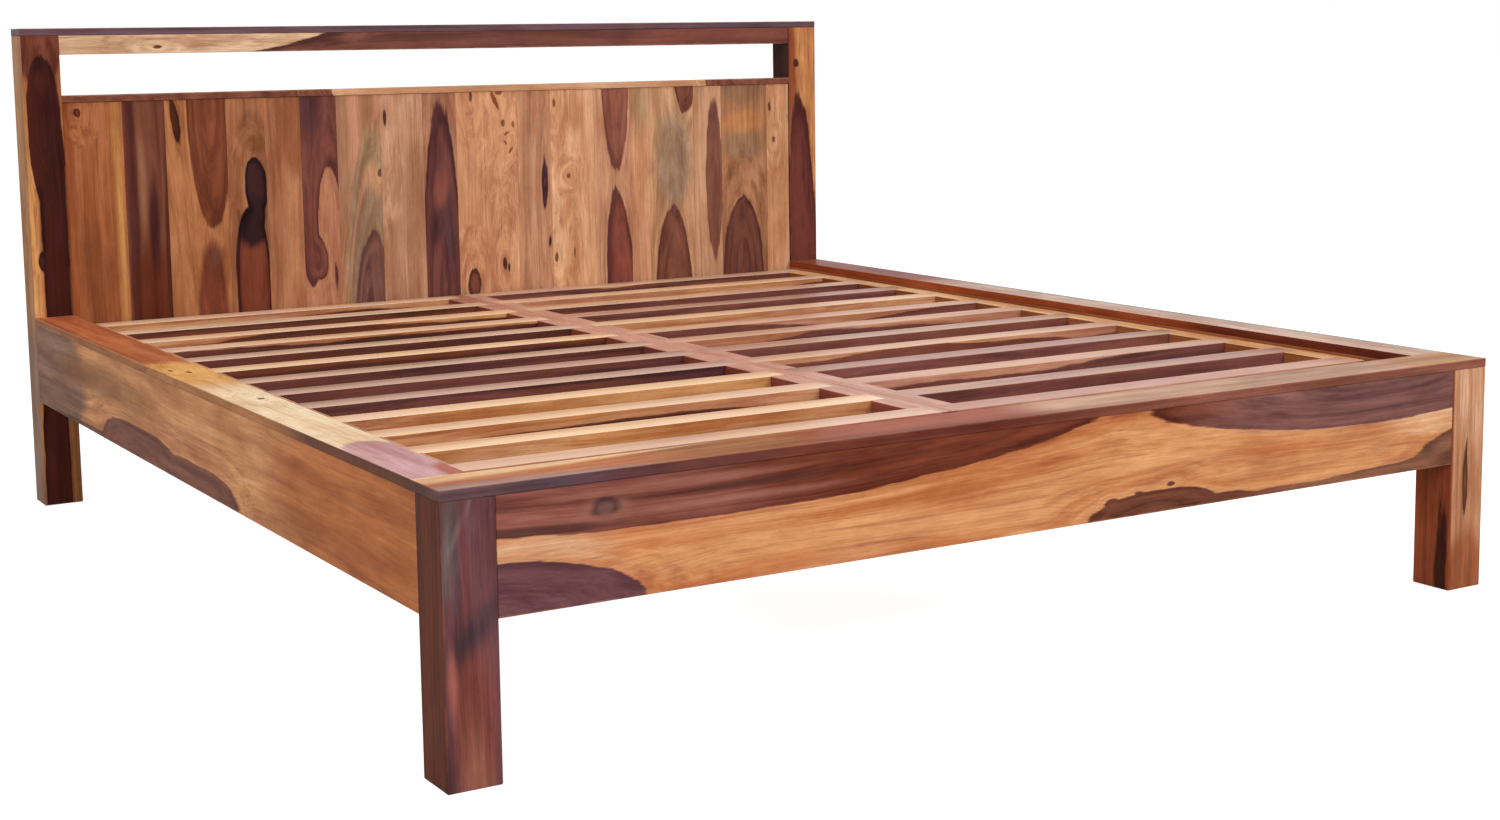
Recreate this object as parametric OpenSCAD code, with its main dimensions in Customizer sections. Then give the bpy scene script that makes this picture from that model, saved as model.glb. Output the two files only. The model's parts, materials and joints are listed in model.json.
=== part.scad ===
// King-size bed in solid striped hardwood, millimetres.
// The origin is on the floor under the middle of the bed. Seen from the foot, +X is to the right,
// +Y runs to the headboard and +Z is up.

/* [Overall] */
// Overall width across the posts
bed_w = 1970; // [1600:10:2200]
// Overall length, face of the foot legs to back of the head posts
bed_l = 2221; // [1900:1:2400]
// Height of the headboard above the floor
head_h = 1012; // [900:1:1300]
// Height of the side and foot caps above the floor
side_h = 405; // [380:1:500]

/* [Posts and legs] */
// Width of a head post
post_w = 80; // [70:1:100]
// Depth of a head post
post_d = 76; // [70:1:100]
// Width of a foot leg
leg_w = 80; // [70:1:100]
// Depth of a foot leg
leg_d = 80; // [70:1:95]
// Bevel on the edges of posts and legs
post_ease = 1.5; // [1:0.5:5]

/* [Caps] */
// Thickness of every cap board
cap_t = 15; // [13:1:22]
// Width of a side cap
side_cap_w = 82; // [75:1:100]
// Width of the foot cap
foot_cap_w = 95; // [85:1:130]
// Bevel on the edges of the cap boards
cap_ease = 1; // [1:0.5:4]

/* [Rails] */
// Thickness of the rails
rail_t = 30; // [27:1:36]
// Height of the underside of the side and foot rails above the floor
rail_z = 225; // [150:1:240]
// Step from the face of a post or leg back to the face of a rail
reveal = 1; // [0:0.5:3]
// Bevel on the edges of the rails
rail_ease = 1; // [1:0.5:3]
// Thickness of a tenon
tenon_t = 12; // [8:1:14]
// Length of a tenon
tenon_l = 35; // [20:1:38]
// Shoulder above and below the tenon of a wide rail
tenon_shoulder = 20; // [10:1:25]

/* [Headboard] */
// Height of the rail under the headboard cap
top_rail_h = 40; // [30:1:60]
// Shoulder above and below the tenon of the top rail
top_shoulder = 8; // [5:1:10]
// Height of the open slot above the panel
slot_h = 86; // [60:1:140]
// Thickness of the strip on the panel
strip_t = 15; // [12:1:20]
// Depth of the strip on the panel, front to back
strip_d = 36; // [30:1:50]
// Thickness of the panel planks
panel_t = 22; // [18:1:24]
// Step from the face of the posts back to the panel
panel_setback = 4; // [3:0.5:6]
// Height of the caps above the top of the rail under the panel
head_rail_drop = 45; // [40:1:48]
// Depth of the groove in the lower rail that holds the planks
rail_groove = 12; // [6:1:16]
// Depth of the groove in the strip that holds the planks
strip_groove = 5; // [3:0.5:8]
// Depth that the planks and the strip run into the posts
post_groove = 8; // [4:1:12]
// Bevel on the edges of the planks
plank_ease = 0.6; // [0.2:0.1:1.5]

/* [Deck] */
// Depth of the deck below the top of the caps
deck_recess = 20; // [16:1:30]
// Thickness of the deck bars and slats
slat_t = 22; // [18:1:26]
// Width of a slat
slat_w = 56; // [40:1:70]
// Slats in each half
slat_count = 13; // [9:1:16]
// Width of a lengthwise deck bar
bar_w = 44; // [36:1:60]
// Length of the lap between a slat and a bar
lap_l = 30; // [20:1:34]
// Gap between a deck half and the side cap
deck_side_gap = 2; // [1:0.5:4]
// Gap between the two deck halves
deck_mid_gap = 2; // [1:0.5:6]
// Distance of the seam between the halves from the middle of the bed, to the left
seam_shift = 24; // [0:1:60]
// Gap between the deck and the foot cap
deck_foot_gap = 105; // [10:1:140]
// Gap between the deck and the front of the head posts
deck_head_gap = 12; // [5:1:40]
// Bevel on the edges of the deck bars and slats
slat_ease = 1; // [0.5:0.5:3]

/* [Deck support] */
// Height of the batten under a side cap
batten_h = 65; // [55:1:75]
// Width of the cleat that carries the deck
cleat_w = 30; // [20:1:40]
// Height of the cleat that carries the deck
cleat_h = 30; // [25:1:36]
// Width of the centre beam
beam_w = 70; // [56:1:90]
// Height of the centre beam
beam_h = 50; // [46:1:58]
// Side of the square centre leg
centre_leg_w = 60; // [45:1:70]
// Sheet thickness of the beam shoes
shoe_t = 2.5; // [2:0.5:4]
// Height of a beam shoe
shoe_h = 45; // [38:1:48]
// Length of a shoe's cheeks along the beam
shoe_l = 40; // [30:1:60]
// Width of a shoe's ears
shoe_ear = 20; // [16:1:30]

/* [Knock-down bolts] */
// Diameter of the threaded studs
stud_d = 8; // [6:1:8]
// Height of the lower stud above the underside of the rail
stud_low = 30; // [24:1:34]
// Distance between the two studs of a joint
stud_pitch = 45; // [40:1:48]
// Length of the stud inside the post or leg
stud_in = 36; // [28:1:40]
// Radius of the nut pocket
pocket_r = 17.5; // [15:0.5:18.5]
// Distance from the rail's end to the middle of the pocket
pocket_inset = 50; // [40:1:70]
// Wood left between the pocket and the outer face of the rail
pocket_wall = 6; // [4:0.5:6]
// Height of the half-moon washer
washer_h = 8; // [5:0.5:9]
// Width of the half-moon washer across the rail
washer_w = 14; // [10:1:16]
// Size of the nut across its flats
nut_af = 13; // [10:1:13]
// Height of the nut
nut_h = 6.5; // [5:0.5:7]
// Length of the stud past its nut
stud_past = 4; // [1:0.5:5]
// Outer diameter of the threaded inserts
insert_d = 12; // [10:1:14]
// Length of the threaded inserts
insert_l = 25; // [15:1:27]

/* [Dowels and screws] */
// Diameter of the dowels under the caps
dowel_d = 8; // [6:1:10]
// Length of a dowel inside the cap board
dowel_up = 10; // [6:1:11]
// Length of a dowel inside the piece below
dowel_down = 14; // [10:1:18]
// Dowels along the top of each rail
rail_dowels = 4; // [2:1:6]
// Distance of the dowel in a post or leg from its outer face
dowel_inset = 26; // [16:1:30]
// Screws along each cap batten
batten_screws_n = 7; // [4:1:10]
// Drop of the batten screws below the caps
batten_screw_drop = 30; // [26:1:32]
// Diameter of the batten screws
batten_screw_d = 5; // [4:0.5:5]
// Length of the batten screws inside the rail
batten_screw_in = 19; // [14:1:22]
// Screws along each cleat
cleat_screws_n = 7; // [4:1:10]
// Diameter of the cleat screws
cleat_screw_d = 4.5; // [3.5:0.5:5]
// Length of the cleat screws inside the batten
cleat_screw_in = 25; // [15:1:35]
// Diameter of the deck screws
deck_screw_d = 4; // [3:0.5:4.5]
// Length of the deck screws
deck_screw_l = 18; // [14:0.5:20]
// Diameter of the shoe screws
shoe_screw_d = 4; // [3:0.5:5]
// Length of the shoe screws
shoe_screw_l = 22; // [15:1:25]
// Diameter of the centre leg bolt
leg_bolt_d = 10; // [8:1:12]
// Length of the centre leg bolt inside the leg
leg_bolt_in = 60; // [40:1:90]
// Clearance round tenons, tongues and grooves
joint_fit = 0.2; // [0.1:0.05:0.4]
// Clearance round dowels, studs and screws
pin_fit = 0.1; // [0.05:0.05:0.3]
// Extra depth of blind holes and mortises
blind_gap = 1; // [0.5:0.5:2]

/* [Hidden] */
$fn = 32;
// Relative widths of the panel planks, left to right
plank_parts = [134, 91, 135, 87, 83, 85, 104, 105, 83, 156, 87, 117, 99, 52, 125, 80, 133, 73];
plank_count = len(plank_parts);
cut = 5;
x_out = bed_w / 2;
x_inner = x_out - side_cap_w;
y_front = -bed_l / 2;
y_back = bed_l / 2;
y_post = y_back - post_d;
y_leg = y_front + leg_d;
cap_z = side_h - cap_t;
post_top = head_h - cap_t;
rail_h = cap_z - rail_z;
rail_mid = reveal + rail_t / 2;
leg_gap = bed_w - 2 * leg_w;
post_gap = bed_w - 2 * post_w;
side_l = y_post - y_leg;
y_foot_cap = y_front + foot_cap_w;
side_cap_l = y_post - y_foot_cap;
top_rail_z = post_top - top_rail_h;
strip_z = top_rail_z - slot_h - strip_t;
head_rail_top = side_h - head_rail_drop;
head_rail_h = head_rail_top - rail_z;
plank_z = head_rail_top - rail_groove;
plank_h = strip_z + strip_groove - joint_fit - plank_z;
panel_w = post_gap + 2 * post_groove;
deck_top = side_h - deck_recess;
deck_z = deck_top - slat_t;
deck_y0 = y_foot_cap + deck_foot_gap;
deck_y1 = y_post - deck_head_gap;
deck_l = deck_y1 - deck_y0;
slat_pitch = (deck_l - slat_w) / (slat_count - 1);
deck_edge = x_inner - deck_side_gap;
left_deck_w = deck_edge - seam_shift - deck_mid_gap / 2;
right_deck_w = deck_edge + seam_shift - deck_mid_gap / 2;
left_x = -deck_edge;
right_x = -seam_shift + deck_mid_gap / 2;
lap_t = slat_t / 2;
screw_head = 2;
screw_tip = 3;
batten_w = side_cap_w - reveal - rail_t;
batten_screw_l = batten_w + batten_screw_in;
cleat_screw_l = cleat_w + cleat_screw_in;
beam_y0 = y_front + reveal + rail_t + shoe_t;
beam_y1 = y_post + reveal - shoe_t;
beam_z = deck_z - beam_h;
shoe_drop = 10;
shoe_rise = 16;
leg_y = (y_leg + y_post) / 2;
bolt_head_h = 7;
bolt_head_d = 19;
bolt_sink = 9;
bolt_socket_d = 24;
stud_z = [rail_z + stud_low, rail_z + stud_low + stud_pitch];
stud_reach = pocket_inset - pocket_r + washer_h + nut_h + stud_past;
pocket_depth = rail_t - pocket_wall;

function plank_name(i) = str("panel_plank_", i < 9 ? "0" : "", i + 1);
function part_sum(n) = n == 0 ? 0 : plank_parts[n - 1] + part_sum(n - 1);
function plank_x(i) = -panel_w / 2 + panel_w * part_sum(i) / part_sum(plank_count);
function spread(i, n, length) = length * (i + 0.5) / n;

// Rectangle with bevelled corners
module eased_rect(w, d, e) {
    polygon([[e, 0], [w - e, 0], [w, e], [w, d - e], [w - e, d], [e, d], [0, d - e], [0, e]]);
}

// Board with all twelve edges bevelled, from its lowest corner
module board(size, e) {
    intersection() {
        linear_extrude(size.z)
            eased_rect(size.x, size.y, e);
        translate([0, size.y, 0])
            rotate([90, 0, 0])
                linear_extrude(size.y)
                    eased_rect(size.x, size.z, e);
        rotate([90, 0, 90])
            linear_extrude(size.x)
                eased_rect(size.y, size.z, e);
    }
}

// Wood screw with its head's face at the origin, driven towards -Z
module screw(d, length) {
    rotate([180, 0, 0]) {
        cylinder(d1 = 2 * d, d2 = d, h = screw_head);
        translate([0, 0, screw_head])
            cylinder(d = d, h = length - screw_head - screw_tip);
        translate([0, 0, length - screw_tip])
            cylinder(d1 = d, d2 = d / 3, h = screw_tip);
    }
}

// Hole for the same screw
module screw_hole(d, length) {
    rotate([180, 0, 0]) {
        translate([0, 0, -pin_fit])
            cylinder(d1 = 2 * d + 4 * pin_fit, d2 = d + 2 * pin_fit, h = screw_head + pin_fit);
        translate([0, 0, screw_head / 2])
            cylinder(d = d + 2 * pin_fit, h = length - screw_head / 2 + blind_gap);
    }
}

// Draws its children for the left side, or mirrored for the right side
module on_side(right) {
    mirror([right ? 1 : 0, 0, 0])
        children();
}

// Places its children at every dowel under the caps, with the origin on the joint between cap and piece
module at_cap_dowels() {
    for (right = [false, true])
        on_side(right) {
            translate([-x_out + dowel_inset, y_post + post_d / 2, post_top])
                children();
            translate([-x_out + dowel_inset, y_front + leg_d / 2, cap_z])
                children();
            for (i = [0:rail_dowels - 1])
                translate([-x_out + rail_mid, y_foot_cap + spread(i, rail_dowels, side_cap_l), cap_z])
                    children();
        }
    for (i = [0:rail_dowels - 1]) {
        translate([-post_gap / 2 + spread(i, rail_dowels, post_gap), y_post + rail_mid, post_top])
            children();
        translate([-leg_gap / 2 + spread(i, rail_dowels, leg_gap), y_front + rail_mid, cap_z])
            children();
    }
}

// Holes for all the cap dowels
module dowel_holes() {
    at_cap_dowels()
        translate([0, 0, -dowel_down - blind_gap])
            cylinder(d = dowel_d + 2 * pin_fit, h = dowel_down + dowel_up + 2 * blind_gap);
}

// Places its children at the two studs of each left corner, along +Y from the joint into the rail
module at_left_studs() {
    for (z = stud_z) {
        translate([-x_out + rail_mid, y_leg, z])
            rotate([-90, 0, 0])
                children();
        translate([-x_out + rail_mid, y_post, z])
            rotate([90, 0, 0])
                children();
    }
}

// Places its children at every stud, local +Z along the stud into the rail
module at_studs() {
    for (right = [false, true])
        on_side(right)
            at_left_studs()
                children();
}

// Places its children at the batten screws of the left side, on the inner face of the batten
module at_left_batten_screws() {
    for (i = [0:batten_screws_n - 1])
        translate([-x_inner, y_leg + spread(i, batten_screws_n, side_l), cap_z - batten_screw_drop])
            rotate([0, 90, 0])
                children();
}

// Places its children at the cleat screws of the left side, on the inner face of the cleat
module at_left_cleat_screws() {
    for (i = [0:cleat_screws_n - 1])
        translate([-x_inner + cleat_w, y_leg + spread(i, cleat_screws_n, side_l), deck_z - cleat_h / 2])
            rotate([0, 90, 0])
                children();
}

// Places its children at the screws of both shoes, on the face of the shoe's ears
module at_shoe_screws() {
    for (x = [-1, 1], z = [shoe_drop, shoe_drop + shoe_rise]) {
        translate([-seam_shift + x * (beam_w / 2 + shoe_t + shoe_ear / 2), beam_y0, beam_z - shoe_t + z])
            rotate([-90, 0, 0])
                children();
        translate([-seam_shift + x * (beam_w / 2 + shoe_t + shoe_ear / 2), beam_y1, beam_z - shoe_t + z])
            rotate([90, 0, 0])
                children();
    }
}

// Bore in a post or leg for a stud and its insert
module stud_bore() {
    translate([0, 0, -insert_l])
        cylinder(d = insert_d + 2 * pin_fit, h = insert_l + cut);
    translate([0, 0, -stud_in - blind_gap])
        cylinder(d = stud_d + 4 * pin_fit, h = stud_in + blind_gap);
}

// Tenon of a rail, from the rail's end towards -X, centred on the rail's thickness
module tenon(h, shoulder) {
    translate([-tenon_l, -tenon_t / 2, shoulder])
        cube([tenon_l + cut, tenon_t, h - 2 * shoulder]);
}

// Mortise for the same tenon
module mortise(h, shoulder) {
    translate([-tenon_l - blind_gap, -tenon_t / 2 - joint_fit, shoulder - joint_fit])
        cube([tenon_l + blind_gap + cut, tenon_t + 2 * joint_fit, h - 2 * shoulder + 2 * joint_fit]);
}

module head_post() {
    color("#7a3f22")
        difference() {
            translate([-x_out, y_post, 0])
                board([post_w, post_d, post_top], post_ease);
            translate([-x_out + post_w, y_post + rail_mid, top_rail_z])
                mortise(top_rail_h, top_shoulder);
            translate([-x_out + post_w, y_post + rail_mid, rail_z])
                mortise(head_rail_h, tenon_shoulder);
            translate([-panel_w / 2 - joint_fit, y_post + panel_setback - joint_fit, plank_z])
                cube([post_groove + cut, panel_t + 2 * joint_fit, strip_z - plank_z + joint_fit]);
            translate([-panel_w / 2 - joint_fit, y_post + reveal - joint_fit, strip_z - joint_fit])
                cube([post_groove + cut, strip_d + 2 * joint_fit, strip_t + 2 * joint_fit]);
            at_left_studs()
                stud_bore();
            dowel_holes();
        }
}

module foot_leg() {
    color("#6b3a26")
        difference() {
            translate([-x_out, y_front, 0])
                board([leg_w, leg_d, cap_z], post_ease);
            translate([-x_out + leg_w, y_front + rail_mid, rail_z])
                mortise(rail_h, tenon_shoulder);
            at_left_studs()
                stud_bore();
            dowel_holes();
        }
}

module head_cap_board() {
    color("#6a3a24")
        difference() {
            translate([-x_out, y_post, post_top])
                board([bed_w, post_d, cap_t], cap_ease);
            dowel_holes();
        }
}

// Rail with a tenon at each end, from its lowest corner between the posts
module tenoned_rail(length, h, shoulder) {
    board([length, rail_t, h], rail_ease);
    for (right = [false, true])
        translate([length / 2, rail_t / 2, 0])
            on_side(right)
                translate([-length / 2, 0, 0])
                    tenon(h, shoulder);
}

module head_top_rail() {
    color("#9b6438")
        difference() {
            translate([-post_gap / 2, y_post + reveal, top_rail_z])
                tenoned_rail(post_gap, top_rail_h, top_shoulder);
            dowel_holes();
        }
}

module head_bottom_rail() {
    color("#8d5130")
        difference() {
            translate([-post_gap / 2, y_post + reveal, rail_z])
                tenoned_rail(post_gap, head_rail_h, tenon_shoulder);
            translate([-post_gap / 2 - cut, y_post + panel_setback - joint_fit, plank_z])
                cube([post_gap + 2 * cut, panel_t + 2 * joint_fit, rail_groove + cut]);
            at_shoe_screws()
                screw_hole(shoe_screw_d, shoe_screw_l);
        }
}

module panel_cap_strip() {
    color("#8a4a2c")
        difference() {
            translate([-panel_w / 2, y_post + reveal, strip_z])
                board([panel_w, strip_d, strip_t], rail_ease);
            translate([-panel_w / 2 - cut, y_post + panel_setback - joint_fit, strip_z - cut])
                cube([panel_w + 2 * cut, panel_t + 2 * joint_fit, strip_groove + cut]);
        }
}

// One edge-glued plank of the headboard panel
module panel_plank(i) {
    color(i % 3 == 0 ? "#b3713f" : i % 3 == 1 ? "#8f4d2b" : "#c88d56")
        translate([plank_x(i), y_post + panel_setback, plank_z])
            board([plank_x(i + 1) - plank_x(i), panel_t, plank_h], plank_ease);
}

module foot_rail() {
    color("#b4703b")
        difference() {
            translate([-leg_gap / 2, y_front + reveal, rail_z])
                tenoned_rail(leg_gap, rail_h, tenon_shoulder);
            at_shoe_screws()
                screw_hole(shoe_screw_d, shoe_screw_l);
            dowel_holes();
        }
}

module foot_cap_board() {
    color("#9d6440")
        difference() {
            translate([-x_out, y_front, cap_z])
                board([bed_w, foot_cap_w, cap_t], cap_ease);
            dowel_holes();
        }
}

// Left side rail with the stud holes and nut pockets of its two ends
module side_rail() {
    color("#a9683c")
        difference() {
            translate([-x_out + reveal, y_leg, rail_z])
                board([rail_t, side_l, rail_h], rail_ease);
            at_left_studs() {
                translate([0, 0, -cut])
                    cylinder(d = stud_d + 4 * pin_fit, h = pocket_inset + cut);
                translate([pocket_wall - rail_t / 2, 0, pocket_inset])
                    rotate([0, 90, 0])
                        cylinder(r = pocket_r, h = pocket_depth + cut);
            }
            at_left_batten_screws()
                screw_hole(batten_screw_d, batten_screw_l);
            dowel_holes();
        }
}

module side_cap() {
    color("#c99a6b")
        difference() {
            translate([-x_out, y_foot_cap, cap_z])
                board([side_cap_w, side_cap_l, cap_t], cap_ease);
            dowel_holes();
        }
}

module cap_batten() {
    color("#a5693f")
        difference() {
            translate([-x_out + reveal + rail_t, y_leg, cap_z - batten_h])
                board([batten_w, side_l, batten_h], slat_ease);
            at_left_batten_screws()
                screw_hole(batten_screw_d, batten_screw_l);
            at_left_cleat_screws()
                screw_hole(cleat_screw_d, cleat_screw_l);
        }
}

module deck_cleat() {
    color("#b98255")
        difference() {
            translate([-x_inner, y_leg, deck_z - cleat_h])
                board([cleat_w, side_l, cleat_h], slat_ease);
            at_left_cleat_screws()
                screw_hole(cleat_screw_d, cleat_screw_l);
        }
}

module centre_beam() {
    color("#a56a42")
        difference() {
            translate([-seam_shift - beam_w / 2, beam_y0, beam_z])
                board([beam_w, beam_y1 - beam_y0, beam_h], rail_ease);
            translate([-seam_shift, leg_y, deck_z - bolt_sink])
                cylinder(d = bolt_socket_d, h = bolt_sink + cut);
            translate([-seam_shift, leg_y, beam_z - cut])
                cylinder(d = leg_bolt_d + 2 * pin_fit, h = beam_h + cut);
        }
}

module centre_leg() {
    color("#8a5233")
        difference() {
            translate([-seam_shift - centre_leg_w / 2, leg_y - centre_leg_w / 2, 0])
                board([centre_leg_w, centre_leg_w, beam_z], rail_ease);
            translate([-seam_shift, leg_y, beam_z - leg_bolt_in - blind_gap])
                cylinder(d = leg_bolt_d + 2 * pin_fit, h = leg_bolt_in + blind_gap + cut);
        }
}

module centre_leg_bolt() {
    color("#a9adb2")
        translate([-seam_shift, leg_y, 0]) {
            translate([0, 0, beam_z - leg_bolt_in])
                cylinder(d = leg_bolt_d, h = leg_bolt_in + beam_h - bolt_sink);
            translate([0, 0, deck_z - bolt_sink])
                cylinder(d = bolt_head_d, h = bolt_head_h, $fn = 6);
        }
}

// Steel saddle that hangs one end of the beam on a rail, from the rail's face along +Y
module beam_shoe() {
    inner = beam_w + 2 * joint_fit;
    translate([-inner / 2 - shoe_t - shoe_ear, 0, 0])
        cube([inner + 2 * shoe_t + 2 * shoe_ear, shoe_t, shoe_h]);
    translate([-inner / 2 - shoe_t, 0, 0])
        cube([inner + 2 * shoe_t, shoe_t + shoe_l, shoe_t]);
    for (x = [-inner / 2 - shoe_t, inner / 2])
        translate([x, 0, 0])
            cube([shoe_t, shoe_t + shoe_l, shoe_h]);
}

module beam_shoes() {
    color("#9aa0a6")
        difference() {
            union() {
                translate([-seam_shift, beam_y0 - shoe_t, beam_z - shoe_t])
                    beam_shoe();
                translate([-seam_shift, beam_y1 + shoe_t, beam_z - shoe_t])
                    rotate([0, 0, 180])
                        beam_shoe();
            }
            at_shoe_screws()
                screw_hole(shoe_screw_d, shoe_screw_l);
        }
}

module shoe_screws() {
    color("#b9bcc0")
        at_shoe_screws()
            screw(shoe_screw_d, shoe_screw_l);
}

// Slats of a deck half that starts at x, each tongued at both ends by its upper half
module deck_slats(x, w) {
    color("#c48a5a")
        difference() {
            for (i = [0:slat_count - 1])
                difference() {
                    translate([x + bar_w - lap_l, deck_y0 + i * slat_pitch, deck_z])
                        board([w - 2 * bar_w + 2 * lap_l, slat_w, slat_t], slat_ease);
                    for (x_tongue = [x + bar_w - lap_l - cut, x + w - bar_w])
                        translate([x_tongue, deck_y0 + i * slat_pitch - cut, deck_z - cut])
                            cube([lap_l + cut, slat_w + 2 * cut, lap_t + cut]);
                }
            at_deck_screws(x, w)
                screw_hole(deck_screw_d, deck_screw_l);
        }
}

// One of the two bars of a deck half that starts at x, notched on its inner edge for the slats
module deck_bar(x, w, right) {
    color("#a8704a")
        difference() {
            translate([right ? x + w - bar_w : x, deck_y0, deck_z])
                board([bar_w, deck_l, slat_t], slat_ease);
            for (i = [0:slat_count - 1])
                translate([
                    right ? x + w - bar_w - cut : x + bar_w - lap_l - joint_fit,
                    deck_y0 + i * slat_pitch - joint_fit,
                    deck_z + lap_t
                ])
                    cube([lap_l + joint_fit + cut, slat_w + 2 * joint_fit, lap_t + cut]);
            at_deck_screws(x, w)
                screw_hole(deck_screw_d, deck_screw_l);
        }
}

// Places its children at the screws of a deck half, on its underside
module at_deck_screws(x, w) {
    for (i = [0:slat_count - 1], x_lap = [x + bar_w - lap_l / 2, x + w - bar_w + lap_l / 2])
        translate([x_lap, deck_y0 + i * slat_pitch + slat_w / 2, deck_z])
            rotate([180, 0, 0])
                children();
}

module deck_screws(x, w) {
    color("#b9bcc0")
        at_deck_screws(x, w)
            screw(deck_screw_d, deck_screw_l);
}

module rail_bolts() {
    color("#b9bcc0")
        at_studs()
            translate([0, 0, -stud_in])
                cylinder(d = stud_d, h = stud_in + stud_reach);
}

module thread_inserts() {
    color("#b08d4a")
        at_studs()
            translate([0, 0, -insert_l])
                difference() {
                    cylinder(d = insert_d, h = insert_l);
                    translate([0, 0, -cut])
                        cylinder(d = stud_d + 2 * pin_fit, h = insert_l + 2 * cut);
                }
}

module half_moon_washers() {
    color("#9aa0a6")
        at_studs()
            difference() {
                intersection() {
                    translate([-washer_w / 2, 0, pocket_inset])
                        rotate([0, 90, 0])
                            cylinder(r = pocket_r - pin_fit, h = washer_w);
                    translate([-pocket_r, -pocket_r, pocket_inset - pocket_r - cut])
                        cube([2 * pocket_r, 2 * pocket_r, washer_h + cut]);
                }
                translate([0, 0, pocket_inset - pocket_r - cut])
                    cylinder(d = stud_d + 4 * pin_fit, h = washer_h + 2 * cut);
            }
}

module rail_nuts() {
    color("#a9adb2")
        at_studs()
            translate([0, 0, pocket_inset - pocket_r + washer_h])
                difference() {
                    cylinder(d = nut_af / cos(30), h = nut_h, $fn = 6);
                    translate([0, 0, -cut])
                        cylinder(d = stud_d + 2 * pin_fit, h = nut_h + 2 * cut);
                }
}

module cap_dowels() {
    color("#d9b483")
        at_cap_dowels()
            translate([0, 0, -dowel_down])
                cylinder(d = dowel_d, h = dowel_down + dowel_up);
}

module batten_screws() {
    color("#b9bcc0")
        for (right = [false, true])
            on_side(right)
                at_left_batten_screws()
                    screw(batten_screw_d, batten_screw_l);
}

module cleat_screws() {
    color("#b9bcc0")
        for (right = [false, true])
            on_side(right)
                at_left_cleat_screws()
                    screw(cleat_screw_d, cleat_screw_l);
}

on_side(false) head_post();  // head_post_left
on_side(true) head_post();  // head_post_right
head_cap_board();
head_top_rail();
panel_cap_strip();
head_bottom_rail();
for (i = [0:plank_count - 1]) panel_plank(i);
on_side(false) foot_leg();  // foot_leg_left
on_side(true) foot_leg();  // foot_leg_right
foot_rail();
foot_cap_board();
on_side(false) side_rail();  // side_rail_left
on_side(true) side_rail();  // side_rail_right
on_side(false) side_cap();  // side_cap_left
on_side(true) side_cap();  // side_cap_right
on_side(false) cap_batten();  // cap_batten_left
on_side(true) cap_batten();  // cap_batten_right
on_side(false) deck_cleat();  // deck_cleat_left
on_side(true) deck_cleat();  // deck_cleat_right
centre_beam();
centre_leg();
centre_leg_bolt();
beam_shoes();
shoe_screws();
deck_bar(left_x, left_deck_w, false);  // left_deck_outer_bar
deck_bar(left_x, left_deck_w, true);  // left_deck_inner_bar
deck_slats(left_x, left_deck_w);  // left_deck_slats
deck_screws(left_x, left_deck_w);  // left_deck_screws
deck_bar(right_x, right_deck_w, false);  // right_deck_inner_bar
deck_bar(right_x, right_deck_w, true);  // right_deck_outer_bar
deck_slats(right_x, right_deck_w);  // right_deck_slats
deck_screws(right_x, right_deck_w);  // right_deck_screws
rail_bolts();
thread_inserts();
half_moon_washers();
rail_nuts();
cap_dowels();
batten_screws();
cleat_screws();
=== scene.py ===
# %% [markdown]
# This lesson dresses a wooden bed for its photograph. The CAD model gives every board, bolt and screw its
# size and place, in metres, with the floor at height zero and the headboard towards +Y. What is left for
# Blender is the look: striped rosewood under a satin lacquer, softly eased edges, plated steel, a camera at
# the photograph's angle and plain studio light. The CAD model is loaded first, because everything else is
# placed by it.

# %% Load the frame
import json
import math

import bmesh
import bpy
from mathutils import Matrix, Vector


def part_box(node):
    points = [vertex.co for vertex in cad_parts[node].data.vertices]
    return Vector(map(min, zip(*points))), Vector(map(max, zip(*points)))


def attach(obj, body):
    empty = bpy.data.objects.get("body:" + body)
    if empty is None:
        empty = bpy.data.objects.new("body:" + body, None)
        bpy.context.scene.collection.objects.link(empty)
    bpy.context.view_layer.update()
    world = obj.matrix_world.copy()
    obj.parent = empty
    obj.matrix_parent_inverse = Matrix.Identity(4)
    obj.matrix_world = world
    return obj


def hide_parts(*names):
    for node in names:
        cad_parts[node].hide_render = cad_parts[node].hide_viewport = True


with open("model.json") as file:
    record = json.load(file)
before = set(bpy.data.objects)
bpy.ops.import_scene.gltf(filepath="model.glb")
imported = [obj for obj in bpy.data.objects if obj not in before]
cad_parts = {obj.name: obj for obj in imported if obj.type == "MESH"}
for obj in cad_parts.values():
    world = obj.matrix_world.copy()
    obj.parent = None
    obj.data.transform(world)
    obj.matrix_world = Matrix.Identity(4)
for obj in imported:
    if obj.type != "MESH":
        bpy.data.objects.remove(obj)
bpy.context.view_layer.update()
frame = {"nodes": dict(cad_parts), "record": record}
body_of_node = {
    node: body for body, nodes in frame["record"]["behaviour"]["bodies"].items() for node in nodes
}

# %% [markdown]
# The photograph was taken from about waist height, a few steps from the left corner of the foot end, with a
# lens a little longer than normal. A camera can be turned by hand until the picture looks right, but the
# corners of the bed give its place exactly, so the heading, tilt and roll that fit those corners are written
# here, in degrees. The frame sits a little low on the lens, which a small vertical shift repeats.

# %% Camera
CAMERA_PLACE = (-2.0632, -3.6733, 0.9817)
CAMERA_HEADING = 31.144
CAMERA_TILT = -7.453
CAMERA_ROLL = -0.732
PHOTO_WIDTH = 1500
FRAME_DROP = 90


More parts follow.
